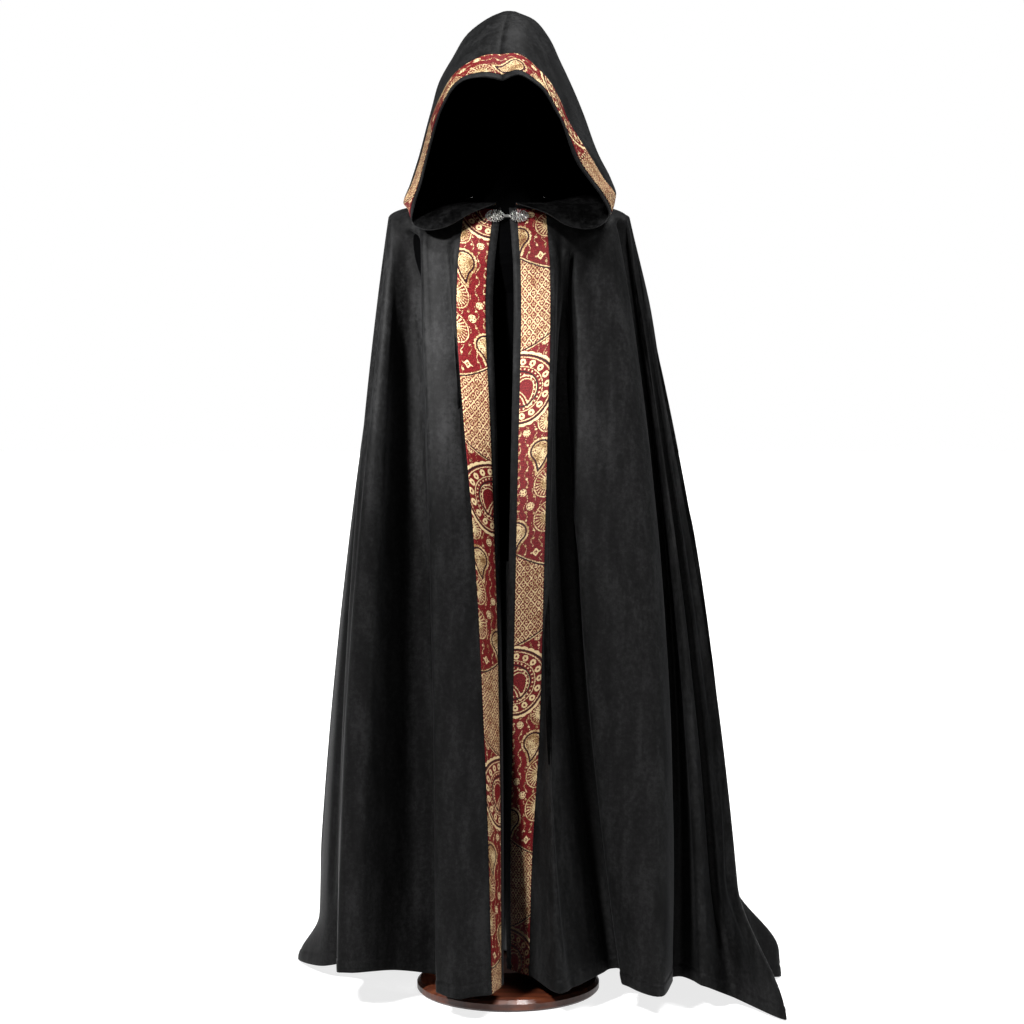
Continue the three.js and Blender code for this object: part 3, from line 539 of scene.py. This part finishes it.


# Creases, listed one by one, each from a place on the ring at one level to a place at another.
# width and depth are in millimetres, and a depth above zero is a ridge
CREASE_COLUMNS = ("place", "level", "end_place", "end_level", "width", "depth")
CREASES = [dict(zip(CREASE_COLUMNS, row)) for row in [
    # Left front: the sharp ridge beside the strip, the dark hollow behind it, the outer ridge
    (1.6, -0.35, 2.05, 1.1, 10, 7),
    (2.5, -0.1, 2.85, 1.1, 20, -20),
    (3.4, 0.05, 3.7, 1.0, 22, -9),
    (4.6, -0.2, 5.4, 1.1, 15, 8),
    (5.2, 0.1, 6.15, 1.1, 10, 5),
    (5.9, 0.0, 6.65, 1.0, 9, -7),
    (0.5, 0.25, 0.45, 1.1, 15, -4),
    (1.1, 0.3, 1.25, 0.95, 12, -3),
    (3.1, -0.85, 4.0, 0.12, 16, 3.5),
    (4.3, -0.6, 3.7, 0.02, 9, -3),
    (2.2, -0.3, 3.0, 0.05, 7, -2.2),
    (5.2, -0.25, 4.9, 0.1, 6, -2.5),
    (5.6, -0.12, 4.7, -0.02, 5, -2),
    # Right front: the drape over the dark valley, the wide panel, the narrow fold, the side panel
    (35.9, -0.08, 34.1, 0.42, 9, 6),
    (35.5, 0.02, 35.0, 1.1, 15, -13),
    (36.6, 0.1, 36.2, 1.1, 9, -5),
    (34.0, 0.2, 34.15, 1.1, 12, 6),
    (33.2, -0.1, 33.1, 0.9, 20, -3.5),
    (32.5, -0.3, 32.45, 1.1, 13, 3.5),
    (31.6, -0.2, 31.15, 1.1, 9, -13),
    (30.6, -0.1, 30.1, 1.1, 9, 6),
    (29.6, 0.0, 29.1, 1.0, 9, -11),
    (28.8, -0.2, 28.35, 1.0, 12, 5),
    (27.9, 0.1, 28.6, 0.86, 10, -5),
    (32.2, -0.5, 32.9, 0.06, 9, -2.5),
    (29.5, -0.7, 30.4, 0.05, 12, 3),
    # Round the back, where the folds run into the train
    (8.2, -0.1, 8.1, 0.95, 11, 5),
    (8.9, 0.1, 8.8, 0.97, 12, -8),
    (10.1, 0.0, 9.9, 0.95, 12, 6),
    (11.2, 0.05, 11.0, 0.93, 14, -12),
    (12.1, 0.0, 12.0, 0.95, 12, 7),
    (13.0, 0.1, 13.1, 0.93, 16, -13),
    (14.0, -0.3, 14.1, 0.95, 14, 8),
    (14.9, 0.05, 15.0, 0.92, 14, -12),
    (15.9, -0.2, 16.0, 0.95, 13, 7),
    (18.05, -0.3, 18.0, 0.95, 14, 8),
    (19.1, 0.0, 19.0, 0.92, 15, -13),
    (20.0, -0.1, 20.1, 0.95, 12, 7),
    (21.0, 0.1, 20.9, 0.93, 15, -12),
    (22.05, 0.0, 22.0, 0.95, 13, 7),
    (23.0, 0.05, 23.1, 0.94, 13, -10),
    (24.1, -0.1, 24.0, 0.95, 12, 6),
    (25.1, 0.1, 25.0, 0.93, 12, -9),
    (26.0, 0.0, 26.1, 0.94, 12, 6),
    (12.6, -0.7, 13.2, 0.0, 12, 3),
    (20.5, -0.6, 21.2, 0.0, 12, 3),
]]
CREASE_EASE = 0.14


def add_creases(grid, normals):
    """Push soft troughs and ridges into the cloth, none on the flat front bands."""
    along = lengths_along(grid, 1)
    lift = np.zeros(grid.shape[:2])
    for crease in CREASES:
        share = (levels - crease["level"]) / (crease["end_level"] - crease["level"])
        ease = smoothstep(share, 0, CREASE_EASE) * smoothstep(1 - share, 0, CREASE_EASE)
        where = lerp(crease["place"], crease["end_place"], np.clip(share, 0, 1))
        centre = np.array([np.interp(w, places, row) for w, row in zip(where, along)])
        width = crease["width"] * (0.55 + 0.45 * np.clip(levels + 0.6, 0, 1))
        bell = np.exp(-((along - centre[:, None]) / width[:, None]) ** 2)
        lift += crease["depth"] * ease[:, None] * bell
    on_bands = smoothstep(places, -1, 0.2) * smoothstep(len(FOLDS) - places, 0, 1.2)
    yoke = 0.35 + 0.65 * smoothstep(levels, -0.4, 0.2)
    return grid + normals * (lift * on_bands * yoke[:, None])[..., None]


def hem_lift(grid):
    """A stitched line above the hem and the doubled cloth below it."""
    down = lengths_along(grid, 0)
    to_hem = down[-1] - down
    stitched = -0.8 * np.exp(-((to_hem - HEM_DEPTH) / 1.8) ** 2)
    doubled = 0.7 * smoothstep(HEM_DEPTH - to_hem, 0, 3)
    near_hem = smoothstep(to_hem, 0, 8) * smoothstep(40 - to_hem, 0, 20)
    ripple = 0.35 * np.sin(lengths_along(grid, 1) / 5.3) * near_hem
    return stitched + doubled + ripple


ring = add_creases(ring, grid_normals(ring))
ring_normals = grid_normals(ring)
inner_ring = ring - ring_normals * WOOL_WALL
ring = ring + ring_normals * hem_lift(ring)[..., None]
ring[..., 2] = np.maximum(ring[..., 2], FLOOR_CLEARANCE + 1)


def panel(name, start, stop):
    outer = ring[:, start:stop + 1].copy()
    inner = inner_ring[:, start:stop + 1].copy()
    for edge, inside in ((0, 1), (-1, -2)):
        if (edge == 0 and start > 0) or (edge == -1 and stop < ring.shape[1] - 1):
            for side in (outer, inner):
                step = side[:, inside] - side[:, edge]
                side[:, edge] += step / np.linalg.norm(step, axis=1, keepdims=True) * SEAM_GAP / 2
    inner[..., 2] = np.maximum(inner[..., 2], FLOOR_CLEARANCE)
    uv = np.stack([lengths_along(outer, 1), lengths_along(outer, 0)], axis=-1) * MM
    piece = add_wall(f"{name}_cloth", outer, inner, black_wool, uv, back=wool_back_painted_shade)
    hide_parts(name)
    return piece


def column_of(place):
    return int(np.argmin(np.abs(places - place)))


left_seam = column_of(LEFT_SEAM_FOLD)
back_seam = column_of(BACK_SEAM_FOLD)
right_seam = column_of(RIGHT_SEAM_FOLD)
panel("front_left", 0, left_seam)
panel("back_left", left_seam, back_seam)
panel("back_right", back_seam, right_seam)
panel("front_right", right_seam, ring.shape[1] - 1)


# Brocade pattern: fields in millimetres, above zero inside a motif
def band(distance, middle, width):
    return width / 2 - np.abs(distance - middle)


def top(*fields):
    return np.maximum.reduce(fields)


def teardrop(x, y, size, turn, flip=1):
    """Depth inside a teardrop with a curled tip, as the union of discs that shrink along a curved spine."""
    c, s = math.cos(turn), math.sin(turn)
    px, py = flip * (c * x + s * y), -s * x + c * y
    discs = []
    for t in np.linspace(0, 1, 14):
        radius = size * (1 - t) ** 0.8
        discs.append(radius - np.hypot(px - size * 0.85 * t * t, py - size * 1.9 * t))
    return top(*discs)


def lattice(u, v, pitch=11.5):
    """Crossed lines of beads on both slants, with a small ring in each opening."""
    one = (u + 0.75 * v) / 1.25 % pitch - pitch / 2
    two = (u - 0.75 * v) / 1.25 % pitch - pitch / 2
    lines = top(0.95 - np.abs(one), 0.95 - np.abs(two))
    ring_distance = np.hypot(np.abs(one) - pitch / 2, np.abs(two) - pitch / 2)
    rings = band(ring_distance, 2.2, 1.5)
    return top(lines, rings)


def rays(x, y, count=24):
    """Fine lines that fan out from a point."""
    angle = np.arctan2(y, x)
    r = np.hypot(x, y)
    across = ((angle * count / (2 * math.pi)) % 1 - 0.5) * 2 * math.pi / count * r
    return np.minimum(0.95 - np.abs(across), r - 5.5)


def ring_of(x, y, at, count, size, hole=0.0):
    """Discs or small rings set evenly round a circle."""
    r, angle = np.hypot(x, y), np.arctan2(y, x)
    across = ((angle * count / (2 * math.pi)) % 1 - 0.5) * 2 * math.pi / count * at
    d = np.hypot(r - at, across)
    return np.minimum(size - d, d - hole) if hole else size - d


def medallion(x, y, radius, petals=30):
    """Gold field, dark line field and reach of a round medallion with beaded borders."""
    r, angle = np.hypot(x, y), np.arctan2(y, x)
    edge = radius + 1.8 * np.abs(np.cos(petals * angle / 2))
    heart = teardrop(x + radius * 0.16, y + radius * 0.06, radius * 0.25, 0.5)
    gold = top(np.minimum(edge - r, r - radius + 3.4), band(r, radius * 0.86, 1.6),
               ring_of(x, y, radius * 0.73, 17, radius * 0.085, 2.0), band(r, radius * 0.61, 1.5),
               ring_of(x, y, radius * 0.545, 30, 1.5), band(heart, -2.8, 1.9), band(heart, 2.6, 1.6),
               ring_of(x, y, radius * 0.4, 22, 1.4))
    line = top(band(r, radius * 0.915, 2.2), band(r, radius * 0.475, 2.3))
    return gold, line, edge - r


def paisley(x, y, size, turn, flip):
    """Gold field, dark line field and reach of a paisley with a beaded border and a fine mesh inside."""
    depth = teardrop(x, y, size, turn, flip)
    angle = np.arctan2(y, x)
    reach = depth + 1.5 * np.abs(np.cos(9 * angle))
    mesh = np.minimum(lattice(x + 2, y + 1, 8.6) + 0.1, depth - 8.8)
    gold = top(np.minimum(reach, 2.2 - depth), band(depth, 6.8, 1.9), mesh)
    line = band(depth, 4.3, 2.2)
    return gold, line, reach


def diamond(x, y, size):
    """Gold field and reach of a stepped diamond with an open centre and four buds."""
    d = np.abs(x) + np.abs(y) * 0.85
    buds = 1.3 - np.hypot(np.abs(np.abs(x) - size * 1.25), np.abs(y))
    return top(np.minimum(size - d, d - size * 0.5), size * 0.2 - d, buds), 2.1 * size - d


VINE_PITCH = 14.0
BUD_PITCH = 14.45


def ground_vine(u, v):
    """Thin waving stems with buds and dots that fill the red ground."""
    half = VINE_PITCH / 2
    stem = band(u % VINE_PITCH, half + 3.2 * np.sin(v / 4.6), 1.5)
    bud_v = (v + 3.6 * np.floor(u / VINE_PITCH)) % BUD_PITCH
    bud = 1.9 - np.hypot((u + 1) % VINE_PITCH - half, bud_v - 7.2)
    return top(stem - 0.25, bud)


def flower(x, y, size):
    """Gold field and reach of a four-petalled flower in a fine ring."""
    r = np.hypot(x, y)
    petals = ring_of(x, y, size * 0.45, 4, size * 0.3)
    return top(petals, band(r, size * 0.95, 1.3)), size * 1.2 - r


# Motifs down a strip: kind, distance along, distance across, size, turn in degrees and hand
STRIP_MOTIFS = [
    ("rays", 40, -6, 27, 0, 1),
    ("flower", 14, 27, 6.5, 0, 1),
    ("paisley", 56, 49, 20, -25, -1),
    ("diamond", 96, 15, 6.5, 0, 1),
    ("rays", 120, 56, 24, 0, 1),
    ("flower", 246, 8, 6, 0, 1),
    ("lattice", 178, 25, 72, 0, 1),
    ("rays", 384, -4, 22, 0, 1),
    ("medallion", 321, 50, 64, 0, 1),
    ("flower", 398, 36, 6, 0, 1),
    ("paisley", 432, 12, 20, 15, 1),
    ("flower", 500, 40, 6, 0, 1),
    ("rays", 492, -4, 26, 0, 1),
]
STRIP_REPEAT = 511.0
GOLD_TINTS = {"diamond": 0.8, "flower": 0.75, "paisley": 0.5, "rays": 0.55, "lattice": 0.58,
              "medallion": 0.78}


def brocade_colours(u, v, phase=0.0, flip=1):
    """Attribute colours over a strip: gold, dark outline and gold tint by distance across and along."""
    across = u if flip > 0 else TRIM_WIDTH - u
    repeat_v = v - phase
    gold = ground_vine(across, repeat_v)
    line = np.full(u.shape, -5.0)
    tint = np.full(u.shape, 0.5)
    for shift in range(-2, math.ceil((v.max() - phase) / STRIP_REPEAT) + 1):
        for kind, along, side, size, turn, hand in STRIP_MOTIFS:
            x, y = across - side, repeat_v - (along + shift * STRIP_REPEAT)
            if y.min() > 3 * size or y.max() < -3 * size:
                continue
            ink = None
            if kind in ("diamond", "flower"):
                field, reach = diamond(x, y, size) if kind == "diamond" else flower(x, y, size)
            elif kind == "paisley":
                field, ink, reach = paisley(x, y, size, math.radians(turn), hand)
            elif kind == "rays":
                reach = size - np.hypot(x, y)
                field = top(np.minimum(rays(x, y), reach - 4), band(reach, 1.2, 2.0),
                            ring_of(x, y, size - 5, 24, 1.3), 4 - np.hypot(x, y))
            elif kind == "lattice":
                reach = np.minimum(size + y + 0.55 * x, size - y + 0.4 * x) * 0.88
                field = top(np.minimum(lattice(across, y), reach - 4.5), band(reach, 1.2, 1.8))
                ink = band(reach, 3.2, 2.0)
            else:
                field, ink, reach = medallion(x, y, size)
            gold = np.where(reach > 0, field, np.where(reach > -1.6, -1.0, gold))
            line = np.where(reach > -0.6, -5.0 if ink is None else ink, line)
            tint = np.where(reach > 0, GOLD_TINTS[kind], tint)
    fields = [0.5 + gold * 0.1, 0.5 + line * 0.1, tint, np.ones_like(u)]
    return np.clip(np.stack(fields, axis=-1), 0, 1)


def trim_wall(name, surface, along, phase, flip):
    """Brocade strip laid on a surface grid, rising from both its sewn edges."""
    normals = grid_normals(surface)
    across = np.linspace(0, TRIM_WIDTH, surface.shape[1])
    from_edge = np.minimum(across, TRIM_WIDTH - across)
    lift = TRIM_GAP + TRIM_WALL * (0.45 + 0.55 * smoothstep(from_edge, 0, 2.5))
    outer = surface + normals * lift[None, :, None]
    inner = surface + normals * TRIM_GAP
    u = np.broadcast_to(across, surface.shape[:2])
    uv = np.stack([u, along], axis=-1) * MM
    piece = add_wall(f"{name}_ribbon", outer, inner, brocade, uv,
                     brocade_colours(u, along, phase, flip))
    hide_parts(name)
    return piece


def front_trim(name, side, phase, flip):
    insets = TRIM_INSET + np.linspace(0, TRIM_WIDTH, round(TRIM_WIDTH / BROCADE_STEP))
    if side > 0:
        insets = insets[::-1]
    rows = np.concatenate([np.linspace(-0.97, 0, round(105 / BROCADE_STEP), endpoint=False),
                           np.linspace(0, 1, round(1260 / BROCADE_STEP))])
    surface = np.array([band_points(side, level, insets) for level in rows])
    along = lengths_along(surface, 0)
    trim_wall(name, surface, along, phase, flip)


front_trim("trim_front_left", -1, 190.0, -1)
front_trim("trim_front_right", 1, 0.0, 1)


# Hood
def hood_sections(table):
    sections = []
    for row in table:
        neck = oval_point(NECK, row[12]) + np.array([0, 0, HOOD_LIFT])
        sections.append(np.array([row[0:3], row[3:6], row[6:9], row[9:12], neck]))
    return np.array(sections)


def hood_lines(table, steps):
    """Dense list of sections between the table's rows."""
    sections = hood_sections(table)
    dense = []
    for segment in range(len(sections) - 1):
        for i in range(steps):
            dense.append(spline_through(sections, segment, i / steps))
    dense.append(sections[-1])
    return dense


def section_curve(section, fine=24):
    points = [spline_through(section, segment, i / fine) for segment in range(4) for i in range(fine)]
    points.append(section[-1])
    points = np.array(points)
    lengths = np.concatenate([[0], np.cumsum(np.linalg.norm(np.diff(points, axis=0), axis=1))])
    return points, lengths, lengths[2 * fine]


def along_curve(points, lengths, stops):
    return np.column_stack([np.interp(stops, lengths, points[:, k]) for k in range(3)])


hood_steps = round(5 / FINE)
dense_right = hood_lines(HOOD_RIGHT, hood_steps)
dense_left = hood_lines(HOOD_LEFT, hood_steps)
whole = dense_right[::-1] + dense_left[1:]
crown_row = len(dense_right) - 1
curves = [section_curve(section) for section in whole]
COLUMN_SHARES = np.linspace(0, 1, round(44 / FINE))
hood = np.array([along_curve(points, lengths, np.concatenate([
    COLUMN_SHARES[:-1] * crown, crown + COLUMN_SHARES ** 1.15 * (lengths[-1] - crown)]))
    for points, lengths, crown in curves])


# Column of the hood grid along which the distance from its centre seam is taken
MIDDLE_COLUMN = 20


def hood_seam_lift():
    """The centre seam's dip with a low welt on both sides, and soft puckers that run out from it."""
    line = hood[:, MIDDLE_COLUMN]
    from_seam = np.linalg.norm(line - line[crown_row], axis=1, keepdims=True)
    along = lengths_along(hood, 1)
    clear_of_trim = smoothstep(along, TRIM_INSET + TRIM_WIDTH + 1, TRIM_INSET + TRIM_WIDTH + 14)
    seam = -1.6 * np.exp(-(from_seam / 3.5) ** 2) + 1.1 * np.exp(-((from_seam - 9) / 5) ** 2)
    pucker = 1.1 * np.sin(along / 7.5 + 1.4 * np.sin(along / 31)) * np.exp(-from_seam / 16)
    drape = 2.6 * np.sin(along / 38 + from_seam / 45) * smoothstep(from_seam, 20, 90)
    near_neck = smoothstep(along[:, -1:] - along, 0, 50)
    return (seam + pucker + drape) * clear_of_trim * near_neck


hood = hood + grid_normals(hood) * hood_seam_lift()[..., None]
hood_normals = grid_normals(hood)


def hood_half(name, start, stop, seam_row):
    outer = hood[start:stop + 1].copy()
    normals = hood_normals[start:stop + 1]
    inside = 1 if seam_row == 0 else -2
    step = outer[inside] - outer[seam_row]
    outer[seam_row] += step / np.linalg.norm(step, axis=1, keepdims=True) * SEAM_GAP / 2
    uv = np.stack([lengths_along(outer, 1), lengths_along(outer, 0)], axis=-1) * MM
    piece = add_wall(f"{name}_cloth", outer, outer - normals * WOOL_WALL, black_wool, uv,
                     back=wool_back_painted_shade)
    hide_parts(name)


hood_half("hood_right", 0, crown_row, -1)
hood_half("hood_left", crown_row, len(whole) - 1, 0)


def hood_trim():
    fine_steps = round(22 / FINE)
    lines = hood_lines(HOOD_RIGHT, fine_steps)[::-1] + hood_lines(HOOD_LEFT, fine_steps)[1:]
    surface = []
    for section in lines:
        points, lengths, crown = section_curve(section)
        near = min(TRIM_INSET, 0.2 * crown)
        far = min(TRIM_INSET + TRIM_WIDTH, 0.85 * crown)
        stops = np.linspace(near, far, round(TRIM_WIDTH / BROCADE_STEP))
        surface.append(along_curve(points, lengths, stops))
    surface = np.array(surface)
    along = np.repeat(lengths_along(surface, 0)[:, :1], surface.shape[1], axis=1)
    trim_wall("trim_hood", surface, along, 60.0, 1)


hood_trim()

# The form and the clasp's hook keep their own solids
for name, material in (("form_torso", black_jersey_painted_shade), ("form_head", black_jersey_painted_shade), ("form_pole", black_paint),
                       ("form_base", varnished_wood), ("clasp_hook", antique_silver)):
    nodes[name].data.materials.clear()
    nodes[name].data.materials.append(material)


# Clasp filigree on a plate: kind, place away from the opening, place up, size and wire, in millimetres
FILIGREE = [
    ("ring", -13.5, 0, 3.0, 0.9),
    ("ring", -8, 4.6, 3.6, 0.8),
    ("ring", -8, -4.6, 3.6, 0.8),
    ("ring", 0, 7.4, 4.0, 0.8),
    ("ring", 0, -7.4, 4.0, 0.8),
    ("ring", 8, 6.0, 3.9, 0.8),
    ("ring", 8, -6.0, 3.9, 0.8),
    ("ring", 13, 0, 3.2, 0.8),
    ("ring", 1.5, 0, 4.6, 1.0),
    ("bead", 1.5, 0, 2.9, 0),
    ("bead", -8, 4.6, 1.6, 0),
    ("bead", -8, -4.6, 1.6, 0),
    ("bead", 0, 7.4, 1.8, 0),
    ("bead", 0, -7.4, 1.8, 0),
    ("bead", 8, 6.0, 1.8, 0),
    ("bead", 8, -6.0, 1.8, 0),
    ("bead", 13, 0, 1.4, 0),
    ("bead", -4, 0, 1.3, 0),
    ("bead", 7.2, 0, 1.3, 0),
]
BORDER_BEADS = 22
BORDER_BEAD = 1.1
BORDER_INSET = 1.4
FILIGREE_LIFT = 1.2


def plate_axes(solid):
    """Centre of a clasp plate, its directions across, up and outward, and half its width and height."""
    points = np.array([solid.matrix_world @ vertex.co for vertex in solid.data.vertices]) / MM
    centre = points.mean(axis=0)
    directions = np.linalg.svd(points - centre, full_matrices=False)[2]
    across = directions[0] * np.sign(directions[0][0])
    out = -directions[2] * np.sign(directions[2][1])
    up = np.cross(out, across)
    halves = [np.abs((points - centre) @ axis).max() for axis in (across, up)]
    return centre, across, up, out, halves


def clasp_filigree(name, hand):
    """Openwork plate of wire rings, beads and a domed boss, made from primitives and joined."""
    centre, across, up, out, (half_width, half_height) = plate_axes(nodes[name])
    turn = Matrix((across, up, out)).transposed().to_euler()
    turns = np.linspace(0, 2 * math.pi, BORDER_BEADS, endpoint=False)
    border = [("bead", (half_width - BORDER_INSET) * math.cos(t), (half_height - BORDER_INSET) * math.sin(t),
               BORDER_BEAD, 0) for t in turns]
    bpy.ops.object.select_all(action="DESELECT")
    parts = []
    for kind, away, rise, size, wire in FILIGREE + border:
        place = (centre + across * away * hand + up * rise + out * FILIGREE_LIFT) * MM
        if kind == "ring":
            bpy.ops.mesh.primitive_torus_add(major_radius=size * MM, minor_radius=wire * MM,
                                             major_segments=24, minor_segments=8,
                                             location=place, rotation=turn)
        else:
            bpy.ops.mesh.primitive_uv_sphere_add(radius=size * MM, segments=12, ring_count=8,
                                                 location=place, rotation=turn)
        parts.append(bpy.context.active_object)
    bpy.ops.object.select_all(action="DESELECT")
    for part in parts:
        part.select_set(True)
    bpy.context.view_layer.objects.active = parts[0]
    bpy.ops.object.join()
    bpy.ops.object.shade_smooth()
    piece = bpy.context.active_object
    piece.name = f"{name}_filigree"
    piece.data.materials.clear()
    piece.data.materials.append(antique_silver)
    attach(piece, "root")
    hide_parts(name)


clasp_filigree("clasp_left", -1)
clasp_filigree("clasp_right", 1)


# Studio: lamps by name, the way their light goes, its spread in degrees and its strength
ROOM_LIGHT = 0.035
FLOOR_REACH = 30.0
FLOOR_GLOW = 0.8
CAMERA = dict(place=(0.007, -4.0, 1.1), pitch=3.38, lens=78.6, sensor=36.0)
LAMPS = [
    ("key", (0.42, 0.52, -0.74), 6, 5.1),
    ("top", (-0.3, 0.14, -0.94), 20, 7.5),
    ("fill", (-0.45, 0.8, -0.4), 20, 0.1),
]


# Lamp that lifts the left of the chest: place, the point it's aimed at, cone in degrees and power
CHEST_LAMP = dict(place=(-1.5, -1.7, 2.1), aim=(-0.17, -0.14, 1.18), cone=15, power=900)


def add_lamp(name, kind, towards, energy, place=(0, 0, 0)):
    light = bpy.data.lights.new(name, kind)
    light.energy = energy
    lamp = bpy.data.objects.new(name, light)
    lamp.location = place
    lamp.rotation_euler = Vector(towards).to_track_quat("-Z", "Y").to_euler()
    bpy.context.scene.collection.objects.link(lamp)
    return light


def add_floor():
    mesh = bpy.data.meshes.new("studio_floor")
    corners = [(-FLOOR_REACH, -FLOOR_REACH, 0), (FLOOR_REACH, -FLOOR_REACH, 0),
               (FLOOR_REACH, FLOOR_REACH, 0), (-FLOOR_REACH, FLOOR_REACH, 0)]
    mesh.from_pydata(corners, [], [(0, 1, 2, 3)])
    floor = bpy.data.objects.new("studio_floor", mesh)
    bpy.context.scene.collection.objects.link(floor)
    material, tree, shader = new_material("pale_floor")
    shader.inputs["Base Color"].default_value = (0.3, 0.3, 0.3, 1)
    shader.inputs["Roughness"].default_value = 0.9
    shader.inputs["Emission Color"].default_value = (1, 1, 1, 1)
    shader.inputs["Emission Strength"].default_value = FLOOR_GLOW
    mesh.materials.append(material)
    floor.visible_diffuse = False


def add_backdrop():
    """White where the camera sees it, and dim where it lights the cloth."""
    world = bpy.data.worlds.new("studio_light")
    world.use_nodes = True
    tree = world.node_tree
    backdrop = tree.nodes["Background"]
    backdrop.inputs["Color"].default_value = (1, 1, 1, 1)
    backdrop.inputs["Strength"].default_value = 1.0
    room = node(tree, "ShaderNodeBackground", {"Color": (0.9, 0.95, 1, 1), "Strength": ROOM_LIGHT})
    seen = node(tree, "ShaderNodeLightPath").outputs["Is Camera Ray"]
    mixed = node(tree, "ShaderNodeMixShader", {0: seen, 1: room.outputs[0], 2: backdrop.outputs[0]})
    tree.links.new(mixed.outputs[0], tree.nodes["World Output"].inputs[0])
    bpy.context.scene.world = world


def studio():
    add_floor()
    add_backdrop()
    for name, towards, spread, strength in LAMPS:
        add_lamp(name, "SUN", towards, strength).angle = math.radians(spread)
    place = Vector(CHEST_LAMP["place"])
    light = add_lamp("chest", "SPOT", Vector(CHEST_LAMP["aim"]) - place, CHEST_LAMP["power"], place)
    light.spot_size = math.radians(CHEST_LAMP["cone"])
    light.spot_blend = 1.0
    light.shadow_soft_size = 0.1


def camera():
    """At the photograph's angle: 4 m in front, 1.1 m up, looking slightly down."""
    data = bpy.data.cameras.new("camera")
    data.sensor_width = CAMERA["sensor"]
    data.lens = CAMERA["lens"]
    made = bpy.data.objects.new("camera", data)
    made.location = CAMERA["place"]
    made.rotation_euler = (math.pi / 2 - math.radians(CAMERA["pitch"]), 0, 0)
    bpy.context.scene.collection.objects.link(made)
    bpy.context.scene.camera = made


studio()
camera()
bpy.context.scene.view_settings.view_transform = "Standard"
bpy.context.scene.view_settings.look = "None"
